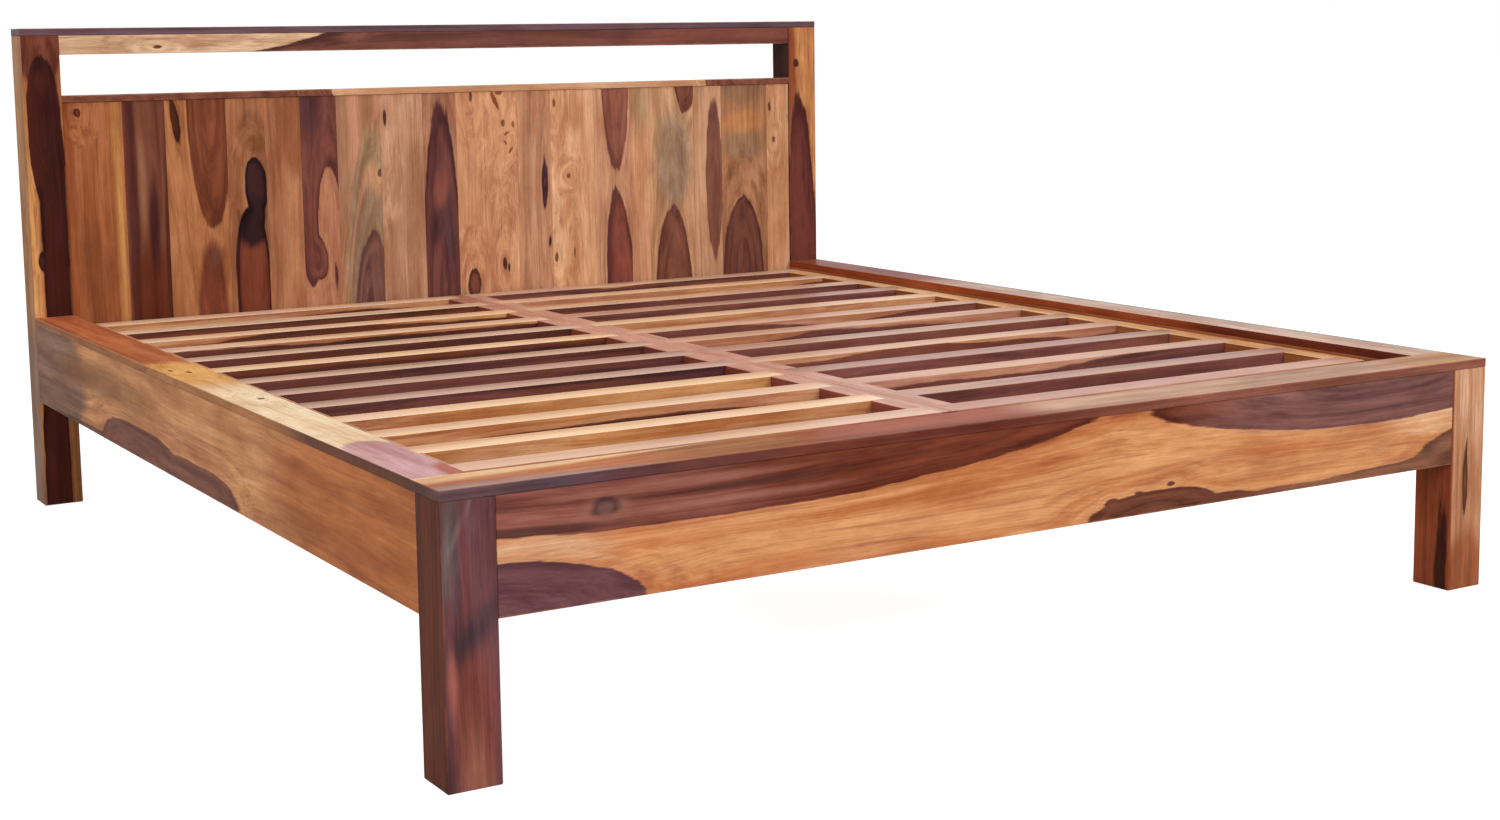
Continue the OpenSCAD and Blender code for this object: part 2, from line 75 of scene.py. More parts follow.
def look_matrix(place, heading, tilt, roll):
    """World matrix of a camera at place, from its compass heading, its tilt and its roll in degrees."""
    heading, tilt, roll = (math.radians(angle) for angle in (heading, tilt, roll))
    forward = Vector(
        (math.sin(heading) * math.cos(tilt), math.cos(heading) * math.cos(tilt), math.sin(tilt))
    )
    level = Vector((math.cos(heading), -math.sin(heading), 0.0))
    upward = level.cross(forward)
    right = math.cos(roll) * level + math.sin(roll) * upward
    up = -math.sin(roll) * level + math.cos(roll) * upward
    turn = Matrix((right, up, -forward)).transposed()
    return Matrix.Translation(place) @ turn.to_4x4()


scene = bpy.context.scene
camera_data = bpy.data.cameras.new("photo_camera")
camera = bpy.data.objects.new("photo_camera", camera_data)
scene.collection.objects.link(camera)
camera.matrix_world = look_matrix(CAMERA_PLACE, CAMERA_HEADING, CAMERA_TILT, CAMERA_ROLL)
camera_data.sensor_width = 36.0
camera_data.lens = 52.457
camera_data.shift_y = -FRAME_DROP / PHOTO_WIDTH
camera_data.clip_end = 200.0
scene.camera = camera
print("camera", [round(x, 3) for x in camera.matrix_world.translation], "lens", camera_data.lens)

# %% [markdown]
# Every finish below is a small network of shader nodes. Building one by hand takes many lines, so a few
# helpers come first. One gives a socket a number or a link, and the others make the nodes that work with
# numbers and with vectors.

# %% Helpers: numbers and vectors
def fill(tree, socket, value):
    """Gives a socket a number, a colour or vector, or a link from another node."""
    if isinstance(value, bpy.types.NodeSocket):
        tree.links.new(value, socket)
    else:
        socket.default_value = value


def add_math(tree, operation, *values, clamp=False):
    node = tree.nodes.new("ShaderNodeMath")
    node.operation = operation
    node.use_clamp = clamp
    for socket, value in zip(node.inputs, values):
        fill(tree, socket, value)
    return node.outputs[0]


def add_vector(tree, operation, *values):
    node = tree.nodes.new("ShaderNodeVectorMath")
    node.operation = operation
    for socket, value in zip(node.inputs, values):
        fill(tree, socket, value)
    return node.outputs["Vector"]


def add_scaled(tree, vector, factor):
    """A vector times a number."""
    scaled = add_vector(tree, "SCALE", vector)
    fill(tree, tree.nodes[-1].inputs["Scale"], factor)
    return scaled


def split(tree, vector):
    node = tree.nodes.new("ShaderNodeSeparateXYZ")
    fill(tree, node.inputs[0], vector)
    return tuple(node.outputs)


def join(tree, x, y, z):
    node = tree.nodes.new("ShaderNodeCombineXYZ")
    for socket, value in zip(node.inputs, (x, y, z)):
        fill(tree, socket, value)
    return node.outputs[0]


def object_position(tree):
    """The place of a point of the surface, in metres."""
    return tree.nodes.new("ShaderNodeTexCoord").outputs["Object"]


# %% [markdown]
# Three more nodes are in almost every pattern. A noise is a cloudy field between 0 and 1, and centred puts
# its middle at 0, so that it can push both ways. A step turns a slope into a soft border, and a mix lays
# one colour over another.

# %% Helpers: noise, steps and mixes
def add_noise(tree, vector, detail=2.0, roughness=0.5, scale=1.0, coloured=False):
    """A noise between 0 and 1, or three different ones as the parts of a colour."""
    node = tree.nodes.new("ShaderNodeTexNoise")
    fill(tree, node.inputs["Vector"], vector)
    node.inputs["Scale"].default_value = scale
    node.inputs["Detail"].default_value = detail
    node.inputs["Roughness"].default_value = roughness
    return node.outputs[1 if coloured else 0]


def centred(tree, noise):
    return add_math(tree, "SUBTRACT", noise, 0.5)


def add_step(tree, value, low, high):
    """0 where value is at low, 1 where it is at high, with a soft change between them."""
    node = tree.nodes.new("ShaderNodeMapRange")
    node.interpolation_type = "SMOOTHSTEP"
    node.clamp = True
    fill(tree, node.inputs["Value"], value)
    fill(tree, node.inputs["From Min"], low)
    fill(tree, node.inputs["From Max"], high)
    return node.outputs["Result"]


def add_mix(tree, factor, first, second, blend="MIX"):
    node = tree.nodes.new("ShaderNodeMix")
    node.data_type = "RGBA"
    node.blend_type = blend
    for index, value in ((0, factor), (6, first), (7, second)):
        fill(tree, node.inputs[index], value)
    return node.outputs[2]


# %% [markdown]
# A pattern that many boards use is built once, as a node group, and placed in each material with its own
# values. These helpers make a group and use it. Two more start a material and give it a fine relief, and
# tint turns the paint codes of the lists below into the linear colours that a shader reads.

# %% Helpers for groups and materials
NUMBER = "NodeSocketFloat"
VECTOR = "NodeSocketVector"
COLOUR = "NodeSocketColor"


def new_group(name, inputs, outputs):
    """An empty node group with named sockets: its tree, its input sockets and its output sockets."""
    tree = bpy.data.node_groups.new(name, "ShaderNodeTree")
    for label, kind, value in inputs:
        socket = tree.interface.new_socket(name=label, in_out="INPUT", socket_type=kind)
        socket.default_value = value
    for label, kind in outputs:
        tree.interface.new_socket(name=label, in_out="OUTPUT", socket_type=kind)
    group_in = tree.nodes.new("NodeGroupInput")
    group_out = tree.nodes.new("NodeGroupOutput")
    return tree, group_in.outputs, group_out.inputs


def use_group(tree, group, **values):
    """Places a node group and fills its inputs; underscores stand for spaces in their names."""
    node = tree.nodes.new("ShaderNodeGroup")
    node.node_tree = group
    for name, value in values.items():
        fill(tree, node.inputs[name.replace("_", " ")], value)
    return node.outputs


def new_material(name):
    """A material with its node tree and its shader."""
    material = bpy.data.materials.new(name)
    material.use_nodes = True
    return material, material.node_tree, material.node_tree.nodes["Principled BSDF"]


def add_relief(tree, shader, height, strength, distance):
    """Lets a height raise and sink the surface of a shader."""
    bump = tree.nodes.new("ShaderNodeBump")
    bump.inputs["Strength"].default_value = strength
    bump.inputs["Distance"].default_value = distance
    fill(tree, bump.inputs["Height"], height)
    fill(tree, shader.inputs["Normal"], bump.outputs["Normal"])


def tint(code):
    """Linear colour for a paint code such as b3713f."""
    parts = [int(code[i : i + 2], 16) / 255 for i in (0, 2, 4)]
    return tuple(c / 12.92 if c <= 0.04045 else ((c + 0.055) / 1.055) ** 2.4 for c in parts) + (1.0,)


# %% [markdown]
# A board is a slice of a log. All its patterns follow one direction, the grain, so each board's material
# first turns the object coordinates into along, across and depth. Real grain also wanders, so this group
# pushes the position about with two noises, one as long as a forearm and one as long as a finger. Every
# pattern that comes later reads the pushed position, and so they all bend together, as they do in a plank.

# %% Group: grain wander
LONG_WANDER = ((1.5, 7.0, 7.0), (0.07, 0.020, 0.020))
SHORT_WANDER = ((9.0, 48.0, 48.0), (0.016, 0.0040, 0.0040))
WANDER_PER_SEED = (3.7, 8.1, 5.3)
wander_group, gin, gout = new_group(
    "Grain wander",
    [("Position", VECTOR, (0, 0, 0)), ("Seed", NUMBER, 0.0), ("Wander", NUMBER, 1.0)],
    [("Position", VECTOR)],
)
seed_shift = add_scaled(wander_group, WANDER_PER_SEED, gin["Seed"])
pushed = gin["Position"]
for noises_per_metre, push_in_metres in (LONG_WANDER, SHORT_WANDER):
    place = add_vector(wander_group, "MULTIPLY_ADD", gin["Position"], noises_per_metre, seed_shift)
    swirl = add_noise(wander_group, place, detail=1.5, coloured=True)
    push = add_vector(wander_group, "SUBTRACT", swirl, (0.5, 0.5, 0.5))
    push = add_vector(wander_group, "MULTIPLY", push, push_in_metres)
    pushed = add_vector(wander_group, "ADD", pushed, add_scaled(wander_group, push, gin["Wander"]))
fill(wander_group, gout["Position"], pushed)
print("grain wander:", len(wander_group.nodes), "nodes")

# %% [markdown]
# Rosewood is two woods in one: pale sapwood outside and dark heartwood inside. Where a saw cuts close to
# the border between them, the dark wood shows as a spindle, a teardrop or an arch. This group makes one
# such figure. It gives the depth of a point inside the figure in metres, above zero inside and below zero
# outside, for a long oval that can narrow towards one end, lean, or come to a point. A depth is more useful
# than a mask: it puts the border exactly where it is wanted, and rings that follow the depth nest around
# the figure, as growth rings do.

# %% Group: heart figure
NARROWEST = 0.15
figure_group, gin, gout = new_group(
    "Heart figure",
    [
        ("Position", VECTOR, (0, 0, 0)),
        ("Along", NUMBER, 0.0),
        ("Across", NUMBER, 0.0),
        ("Face", NUMBER, 0.0),
        ("Length", NUMBER, 0.1),
        ("Width", NUMBER, 0.02),
        ("Reach", NUMBER, 0.07),
        ("Taper", NUMBER, 0.0),
        ("Lean", NUMBER, 0.0),
        ("Roundness", NUMBER, 2.0),
    ],
    [("Depth", NUMBER)],
)
along, across, depth = split(figure_group, gin["Position"])
along = add_math(figure_group, "SUBTRACT", along, gin["Along"])
across = add_math(figure_group, "SUBTRACT", across, gin["Across"])
depth = add_math(figure_group, "SUBTRACT", depth, gin["Face"])
across = add_math(figure_group, "SUBTRACT", across, add_math(figure_group, "MULTIPLY", along, gin["Lean"]))
step_along = add_math(figure_group, "DIVIDE", along, gin["Length"])
narrowing = add_math(figure_group, "MULTIPLY_ADD", step_along, gin["Taper"], 1.0)
narrowing = add_math(figure_group, "MAXIMUM", narrowing, NARROWEST)
half_width = add_math(figure_group, "MULTIPLY", gin["Width"], narrowing)
step_across = add_math(figure_group, "DIVIDE", across, half_width)
step_depth = add_math(figure_group, "DIVIDE", depth, gin["Reach"])
total = add_math(figure_group, "POWER", add_math(figure_group, "ABSOLUTE", step_along), gin["Roundness"])
total = add_math(figure_group, "MULTIPLY_ADD", step_across, step_across, total)
total = add_math(figure_group, "MULTIPLY_ADD", step_depth, step_depth, total)
inside = add_math(figure_group, "SUBTRACT", 1.0, add_math(figure_group, "SQRT", total))
fill(figure_group, gout["Depth"], add_math(figure_group, "MULTIPLY", inside, gin["Width"]))
print("heart figure:", len(figure_group.nodes), "nodes")

# %% [markdown]
# This group is the wood itself. It gets the pushed position and the depth inside the heartwood, and mixes
# four colours: two for the sapwood and two for the heartwood. It starts with broad bands, which are one
# noise that is read by the depth inside the heartwood as well as by the place, so the bands bend around the
# figures. Veins are the strongest parts of a finer noise in the same place.

# %% Group: rosewood
HEART_BANDS = 62.0
SIDE_BANDS = 30.0
DEPTH_BANDS = 40.0
BAND_CONTRAST = 2.6
BANDS_ALONG = 1.1
BANDS_PER_SEED = 5.7
VEIN_STRETCH = (1.6, 4.2, 1.7)
VEIN_SHIFT = (4.0, 9.0, 2.0)
VEIN_RANGE = (0.56, 0.74)
rosewood, gin, gout = new_group(
    "Rosewood",
    [
        ("Position", VECTOR, (0, 0, 0)),
        ("Heart depth", NUMBER, -0.05),
        ("Seed", NUMBER, 0.0),
        ("Pale", COLOUR, tint("d69e76")),
        ("Tan", COLOUR, tint("ad6a3c")),
        ("Brown", COLOUR, tint("7e4227")),
        ("Dark", COLOUR, tint("4a241c")),
        ("Streaks", NUMBER, 1.0),
        ("Rings", NUMBER, 0.25),
        ("Rim", NUMBER, 0.5),
        ("Core", NUMBER, 0.0),
    ],
    [("Color", COLOUR), ("Roughness", NUMBER), ("Height", NUMBER)],
)
along, across, depth = split(rosewood, gin["Position"])
heart_depth = gin["Heart depth"]
drift = add_math(rosewood, "MULTIPLY", along, BANDS_ALONG)
drift = add_math(rosewood, "MULTIPLY_ADD", gin["Seed"], BANDS_PER_SEED, drift)
side = add_math(rosewood, "MULTIPLY", depth, DEPTH_BANDS)
side = add_math(rosewood, "MULTIPLY_ADD", across, SIDE_BANDS, side)
band_place = join(rosewood, add_math(rosewood, "MULTIPLY", heart_depth, HEART_BANDS), side, drift)
bands = add_noise(rosewood, band_place, detail=4.0, roughness=0.62)
bands = add_math(rosewood, "MULTIPLY", centred(rosewood, bands), BAND_CONTRAST)
vein_place = add_vector(rosewood, "MULTIPLY_ADD", band_place, VEIN_STRETCH, VEIN_SHIFT)
veins = add_step(rosewood, add_noise(rosewood, vein_place, detail=2.0), *VEIN_RANGE)
print("rosewood bands and veins:", len(rosewood.nodes), "nodes")

# %% [markdown]
# Finer than the bands are the fibres, which are long thin stripes along the grain, and the open pores,
# which show as short dark dashes. Both are noises that are squeezed across the grain and stretched along
# it. A slow cloud makes one part of a board paler than another.

# %% Group: rosewood fibres and pores
FIBRES_ACROSS = 430.0
FIBRES_ALONG = 8.0
FIBRE_BEND = 160.0
PORES_PER_METRE = (42.0, 1300.0, 1300.0)
PORE_RANGE = (0.60, 0.74)
CLOUDS_PER_METRE = (3.4, 13.0, 13.0)
CLOUD_SHIFT = (7.0, 1.0, 3.0)
fibre_side = add_math(rosewood, "MULTIPLY", heart_depth, FIBRE_BEND)
fibre_side = add_math(rosewood, "MULTIPLY_ADD", across, FIBRES_ACROSS, fibre_side)
fibre_run = add_math(rosewood, "MULTIPLY", along, FIBRES_ALONG)
fibre_depth = add_math(rosewood, "MULTIPLY", depth, FIBRES_ACROSS)
fibres = add_noise(rosewood, join(rosewood, fibre_side, fibre_run, fibre_depth), detail=3.0, roughness=0.6)
pore_place = add_vector(rosewood, "MULTIPLY", gin["Position"], PORES_PER_METRE)
pores = add_step(rosewood, add_noise(rosewood, pore_place, detail=1.0), *PORE_RANGE)
cloud_place = add_vector(rosewood, "MULTIPLY_ADD", gin["Position"], CLOUDS_PER_METRE, CLOUD_SHIFT)
cloud = add_noise(rosewood, cloud_place, detail=3.0)
print("rosewood with fibres and pores:", len(rosewood.nodes), "nodes")

# %% [markdown]
# Growth rings are drawn as thin darker lines around a figure. A sine of the depth inside the heartwood
# gives lines at even distances, the bands push them about so that they don't look ruled, and the cloud lets
# them fade in places. The jags will make the border of the heartwood ragged.

# %% Group: rosewood rings and jags
RING_TURN = 430.0
RING_SLANT = 90.0
RING_UNEVENNESS = 2.6
RING_FADE = (0.30, 0.62)
JAGS_PER_METRE = (20.0, 75.0, 75.0)
phase = add_math(rosewood, "MULTIPLY", across, RING_SLANT)
phase = add_math(rosewood, "MULTIPLY_ADD", heart_depth, RING_TURN, phase)
phase = add_math(rosewood, "MULTIPLY_ADD", bands, RING_UNEVENNESS, phase)
ring_line = add_math(rosewood, "MULTIPLY_ADD", add_math(rosewood, "SINE", phase), 0.5, 0.5)
ring_line = add_math(rosewood, "MULTIPLY", add_math(rosewood, "POWER", ring_line, 2.0), gin["Rings"])
ring_line = add_math(rosewood, "MULTIPLY", ring_line, add_step(rosewood, cloud, *RING_FADE))
jag_place = add_vector(rosewood, "MULTIPLY", gin["Position"], JAGS_PER_METRE)
jags = centred(rosewood, add_noise(rosewood, jag_place, detail=2.0, roughness=0.55))
print("rosewood with rings:", len(rosewood.nodes), "nodes")

# %% [markdown]
# The patterns become colour in the order in which the wood grew. Sapwood and heartwood each mix their two
# colours by the bands, and the heartwood can be darker at its rim or in its core. The border between them
# is drawn with a slightly ragged edge, and then come veins, rings, fibres and pores, which run across both.

# %% Group: rosewood colours
RIM_WIDTH = 0.009
CORE_FROM = 0.004
CORE_TO = 0.030
BORDER_SOFTNESS = 0.0012
BAND_PUSH = 0.0015
JAG_PUSH = 0.005
FIBRE_PUSH = 0.003
CLOUD_STRENGTH = 1.7
HEART_BALANCE = 0.42
VEIN_SHARE = 0.42
FIBRE_RANGE = (0.40, 0.74)
FIBRE_SHARE = 0.26
PORE_SHARE = 0.25
sap_share = add_math(rosewood, "MULTIPLY_ADD", centred(rosewood, cloud), CLOUD_STRENGTH, bands)
sap_share = add_math(rosewood, "ADD", sap_share, 0.5)
sapwood = add_mix(rosewood, add_step(rosewood, sap_share, 0.0, 1.0), gin["Pale"], gin["Tan"])
at_rim = add_step(rosewood, heart_depth, RIM_WIDTH, 0.0)
in_core = add_step(rosewood, heart_depth, CORE_FROM, CORE_TO)
heart_share = add_math(rosewood, "MULTIPLY_ADD", at_rim, gin["Rim"], bands)
heart_share = add_math(rosewood, "MULTIPLY_ADD", in_core, gin["Core"], heart_share)
heart_share = add_math(rosewood, "ADD", heart_share, HEART_BALANCE)
heartwood = add_mix(rosewood, add_step(rosewood, heart_share, 0.0, 1.0), gin["Brown"], gin["Dark"])
ragged = add_math(rosewood, "MULTIPLY_ADD", bands, BAND_PUSH, heart_depth)
ragged = add_math(rosewood, "MULTIPLY_ADD", jags, JAG_PUSH, ragged)
ragged = add_math(rosewood, "MULTIPLY_ADD", centred(rosewood, fibres), FIBRE_PUSH, ragged)
in_heart = add_step(rosewood, ragged, -BORDER_SOFTNESS, BORDER_SOFTNESS)
wood_colour = add_mix(rosewood, in_heart, sapwood, heartwood)
vein_share = add_math(rosewood, "MULTIPLY", veins, gin["Streaks"])
vein_share = add_math(rosewood, "MULTIPLY", vein_share, VEIN_SHARE)
wood_colour = add_mix(rosewood, vein_share, wood_colour, gin["Brown"])
wood_colour = add_mix(rosewood, ring_line, wood_colour, gin["Brown"])
fibre_share = add_math(rosewood, "MULTIPLY", add_step(rosewood, fibres, *FIBRE_RANGE), gin["Streaks"])
fibre_share = add_math(rosewood, "MULTIPLY", fibre_share, FIBRE_SHARE)
wood_colour = add_mix(rosewood, fibre_share, wood_colour, gin["Dark"])
wood_colour = add_mix(rosewood, add_math(rosewood, "MULTIPLY", pores, PORE_SHARE), wood_colour, gin["Dark"])
print("rosewood with colours:", len(rosewood.nodes), "nodes")

# %% [markdown]
# The last layer of the group's colour is a soft mottle, light and dark, as light plays in wood whose fibres
# rise and sink. It changes blue and green more than red, so the dark places are also warmer. The group then
# puts out the roughness and the height: fibres and clouds change the gloss a little, and the pores are
# sunk.

# %% Group: rosewood mottle and surface
MOTTLE_PER_METRE = (9.0, 24.0, 24.0)
MOTTLE_PER_SEED = (7.3, 3.1, 5.9)
MOTTLE_GAINS = (0.75, 1.1, 1.3)
LEAST_ROUGHNESS = 0.22
FIBRE_ROUGHNESS = 0.14
CLOUD_ROUGHNESS = 0.16
FIBRE_HEIGHT = 0.35
seed_shift = add_scaled(rosewood, MOTTLE_PER_SEED, gin["Seed"])
mottle_place = add_vector(rosewood, "MULTIPLY_ADD", gin["Position"], MOTTLE_PER_METRE, seed_shift)
mottle = centred(rosewood, add_noise(rosewood, mottle_place, detail=5.0, roughness=0.68))
shade = [add_math(rosewood, "MULTIPLY_ADD", mottle, gain, 1.0) for gain in MOTTLE_GAINS]
wood_colour = add_mix(rosewood, 1.0, wood_colour, join(rosewood, *shade), blend="MULTIPLY")
fill(rosewood, gout["Color"], wood_colour)
roughness = add_math(rosewood, "MULTIPLY_ADD", fibres, FIBRE_ROUGHNESS, LEAST_ROUGHNESS)
roughness = add_math(rosewood, "MULTIPLY_ADD", cloud, CLOUD_ROUGHNESS, roughness)
fill(rosewood, gout["Roughness"], roughness)
relief = add_math(rosewood, "MULTIPLY", fibres, FIBRE_HEIGHT)
fill(rosewood, gout["Height"], add_math(rosewood, "SUBTRACT", relief, pores))
print("rosewood:", len(rosewood.nodes), "nodes")

# %% [markdown]
# Hands and cloths rub the edges of furniture first, and the lacquer lies thinnest there, and a rounded edge
# catches the light, so the arris of a board is painted a little paler than its faces: partly thin lacquer,
# partly a painted highlight. A board is a plain box, so no curvature has to be measured: the group works out
# how far a point is from each pair of faces, and the second smallest distance is the way to the nearest
# edge. Where two boards were sanded flush together there is no pale arris, and the box is simply given as
# larger on that side.

# %% Group: pale arris of thin lacquer and painted highlight
LEAST_EDGE_REACH = 0.0004
EDGE_PATCHES_PER_METRE = 24.0
EDGE_PATCH_RANGE = (0.25, 0.65)
arris_group, gin, gout = new_group(
    "Arris wear",
    [
        ("Position", VECTOR, (0, 0, 0)),
        ("Low", VECTOR, (0, 0, 0)),
        ("High", VECTOR, (1, 1, 1)),
        ("Width", NUMBER, 0.004),
    ],
    [("Pale edge", NUMBER)],
)
# The pale arris is partly thin lacquer and partly a painted highlight of the edge.
to_low = add_vector(arris_group, "SUBTRACT", gin["Position"], gin["Low"])
to_high = add_vector(arris_group, "SUBTRACT", gin["High"], gin["Position"])
near_x, near_y, near_z = split(arris_group, add_vector(arris_group, "MINIMUM", to_low, to_high))
low_pair = add_math(arris_group, "MINIMUM", near_x, near_y)
high_pair = add_math(arris_group, "MAXIMUM", near_x, near_y)
second = add_math(arris_group, "MAXIMUM", low_pair, add_math(arris_group, "MINIMUM", high_pair, near_z))
patchy = add_noise(arris_group, gin["Position"], detail=3.0, scale=EDGE_PATCHES_PER_METRE)
reach = add_math(arris_group, "MULTIPLY", gin["Width"], add_step(arris_group, patchy, *EDGE_PATCH_RANGE))
reach = add_math(arris_group, "ADD", reach, LEAST_EDGE_REACH)
wear = add_math(arris_group, "SUBTRACT", 1.0, add_step(arris_group, second, 0.0, reach))
fill(arris_group, gout["Pale edge"], wear)
print("arris wear:", len(arris_group.nodes), "nodes")

# %% [markdown]
# A few plain words are enough to describe a board. A heart is a dark figure, a sap is a pale one, and a
# knot is a very small heart. A stain is an area where the wood takes other colours, such as the mauve end
# of a cap, and it can be kept to the sapwood or to the heartwood. Each is given by its place along and
# across the grain and by its half length and half width, in metres. It can also lean, taper and be more or
# less pointed.

# %% Words for a board
def area_entry(kind, along, across, length, width, **more):
    """One area of a board; more can hold its taper, lean, roundness, reach and face."""
    return {"kind": kind, "along": along, "across": across, "length": length, "width": width, **more}


def heart(*place, **more):
    return area_entry("heart", *place, **more)


def sap(*place, **more):
    return area_entry("sap", *place, **more)


def knot(*place, **more):
    return area_entry("knot", *place, **more)


def stain(colours, *place, soft=0.008, **more):
    """An area with other colours, from pale to dark; an empty code leaves that colour as it is."""
    return area_entry("stain", *place, colours=colours, soft=soft, **more)


def sap_stain(pale, tan, *place, **more):
    return stain((pale, tan), *place, **more)


def heart_stain(brown, dark, *place, **more):
    return stain(("", "", brown, dark), *place, **more)


# %% [markdown]
# These functions put such words to work in a material. Hearts, saps and knots change the depth inside the
# heartwood. Where they meet they flow into each other, which a smooth maximum does. Stains change the four
# colours and leave the figures alone. An area reaches a hand's breadth into the log, so it also shows on
# the sides of the board.

# %% Functions: areas of a board
REACH_INTO_LOG = 0.07
FIGURE_BLEND = 0.006
KNOT_BLEND = 0.002


def depth_in_area(tree, pushed, area, face):
    """Depth of a point inside one area of a board."""
    return use_group(
        tree,
        figure_group,
        Position=pushed,
        Along=area["along"],
        Across=area["across"],
        Face=area.get("face", face),
        Length=area["length"],
        Width=area["width"],
        Reach=area.get("reach", REACH_INTO_LOG),
        Taper=area.get("taper", 0.0),
        Lean=area.get("lean", 0.0),
        Roundness=area.get("roundness", 2.0),
    )["Depth"]


def depth_in_heartwood(tree, pushed, areas, face, depth):
    """Works the hearts, saps and knots of a board into its depth of heartwood."""
    for area in areas:
        if area["kind"] == "stain":
            continue
        inside = depth_in_area(tree, pushed, area, face)
        blend = KNOT_BLEND if area["kind"] == "knot" else FIGURE_BLEND
        if area["kind"] == "sap":
            depth = add_math(tree, "SMOOTH_MIN", depth, add_math(tree, "MULTIPLY", inside, -1.0), blend)
        else:
            depth = add_math(tree, "SMOOTH_MAX", depth, inside, blend)
    return depth


def stained_paints(tree, pushed, areas, face, paints):
    """The four colours of a board, changed inside its stains."""
    for area in areas:
        if area["kind"] != "stain":
            continue
        share = add_step(tree, depth_in_area(tree, pushed, area, face), -area["soft"], area["soft"])
        for index, code in enumerate(area["colours"]):
            if code:
                paints[index] = add_mix(tree, share, paints[index], tint(code))
    return paints


# %% [markdown]
# On a real board the narrow faces are cut through other growth rings than the wide ones, so they often have
# another colour. A face of a board is known by its axis and its place, and whatever lies within a
# millimetre or two of it is on that face. A face can take its own colours all over, or only near one place
# along the grain, so that a long edge changes in sections.

# %% Function: faces of their own wood
FACE_SKIN = (0.0016, 0.0008)


def face_paints(tree, parts, pushed, faces, paints):
    """The four colours of a board, changed near single faces."""
    for axis, edge, sign, codes, span in faces:
        inward = add_math(tree, "MULTIPLY", add_math(tree, "SUBTRACT", edge, parts[axis]), sign)
        share = add_step(tree, inward, *FACE_SKIN)
        if span:
            middle, half, soft = span
            from_middle = add_math(tree, "SUBTRACT", split(tree, pushed)[0], middle)
            from_middle = add_math(tree, "ABSOLUTE", from_middle)
            nearby = add_step(tree, from_middle, half + soft, half - soft)
            share = add_math(tree, "MULTIPLY", share, nearby)
        paints = [add_mix(tree, share, paint, tint(code)) for paint, code in zip(paints, codes)]
    return paints


# %% [markdown]
# One function now makes the finish of any board. It is told which way the grain runs, the four colours, the
# areas and the faces. Rings, rim and core set how dark the rings, the border and the middle of the
# heartwood are, and streaks and wander set how lively the grain is. The lacquer is a clear satin coat: it
# hardly shows on a face seen straight on, and gives a pale sheen where the light grazes the wood. The slats
# and bars of the deck are only rubbed, which leaves a duller and more milky coat, so that coat is given
# apart.

# %% Function: finish of a board
AXES = {"x": 0, "y": 1, "z": 2}
COLOUR_NAMES = ("Pale", "Tan", "Brown", "Dark")
DEPTH_OF_BASE = {"sap": -0.05, "heart": 0.03}
LACQUERED = {"Specular IOR Level": 0.02, "Coat Weight": 0.08, "Coat IOR": 1.3, "Coat Roughness": 0.12}
RUBBED = {"Specular IOR Level": 0.06, "Coat Weight": 0.2, "Coat IOR": 1.3, "Coat Roughness": 0.3}


def board_material(name, grain, colours, areas=(), base="sap", seed=0.0, low=None, high=None, face=0.0,
                   wander=1.0, streaks=1.0, rings=0.12, rim=0.5, core=0.0, wear=0.3, coat=LACQUERED,
                   faces=(), own_depth=None):
    """Rosewood under a coat. grain is the three axes in the order along, across, depth."""
    material, tree, shader = new_material(name)
    position = object_position(tree)
    parts = split(tree, position)
    steps = [parts[AXES[letter]] for letter in grain]
    depth = DEPTH_OF_BASE[base]
    if own_depth is not None:
        steps[0], seed, depth = own_depth(tree, steps)
    straight = join(tree, *steps)
    pushed = use_group(tree, wander_group, Position=straight, Seed=seed, Wander=wander)["Position"]
    depth = depth_in_heartwood(tree, pushed, areas, face, depth)
    paints = stained_paints(tree, pushed, areas, face, [tint(code) for code in colours])
    paints = face_paints(tree, parts, pushed, faces, paints)
    wood = use_group(
        tree, rosewood, Position=pushed, Heart_depth=depth, Seed=seed, Streaks=streaks, Rings=rings, Rim=rim,
        Core=core, **dict(zip(COLOUR_NAMES, paints))
    )
    colour = wood["Color"]
    # The pale arris: partly thin lacquer, partly a painted highlight where the edge catches the light.
    if low is not None:
        pale_edge_share = use_group(tree, arris_group, Position=position, Low=low, High=high)["Pale edge"]
        colour = add_mix(tree, add_math(tree, "MULTIPLY", pale_edge_share, wear), colour, paints[0])
    fill(tree, shader.inputs["Base Color"], colour)
    fill(tree, shader.inputs["Roughness"], wood["Roughness"])
    for label, value in coat.items():
        shader.inputs[label].default_value = value
    add_relief(tree, shader, wood["Height"], strength=0.22, distance=0.0006)
    return material


# %% [markdown]
# A cabinet maker breaks every sharp edge with a plane and sandpaper, and such an edge catches a thin line
# of light. The CAD boards have a flat bevel there. A copy of each board gets its triangles merged into
# clean faces, and a Bevel modifier rounds the borders of that flat strip, so the edge reads as one soft
# curve while the board keeps its outer size, its mortises and its screw holes. Weighted normals keep the
# large faces flat.

# %% Functions: eased copy of a CAD board
EASE_WIDTH = 0.0003
DOUBLES_WITHIN = 1e-6
FLAT_WITHIN = math.radians(0.5)
EDGE_FROM = math.radians(30)


def clean_copy(node, keep=None):
    """Mesh of a CAD node with doubles merged and flat faces whole; keep can drop some of its points."""
    mesh = bpy.data.meshes.new(node + "_eased")
    work = bmesh.new()
    work.from_mesh(frame["nodes"][node].data)
    bmesh.ops.remove_doubles(work, verts=work.verts, dist=DOUBLES_WITHIN)
    if keep is not None:
        bmesh.ops.delete(work, geom=[v for v in work.verts if not keep(v.co)], context="VERTS")
    bmesh.ops.dissolve_limit(work, angle_limit=FLAT_WITHIN, verts=work.verts, edges=work.edges)
    work.to_mesh(mesh)
    work.free()
    for polygon in mesh.polygons:
        polygon.use_smooth = True
    return mesh


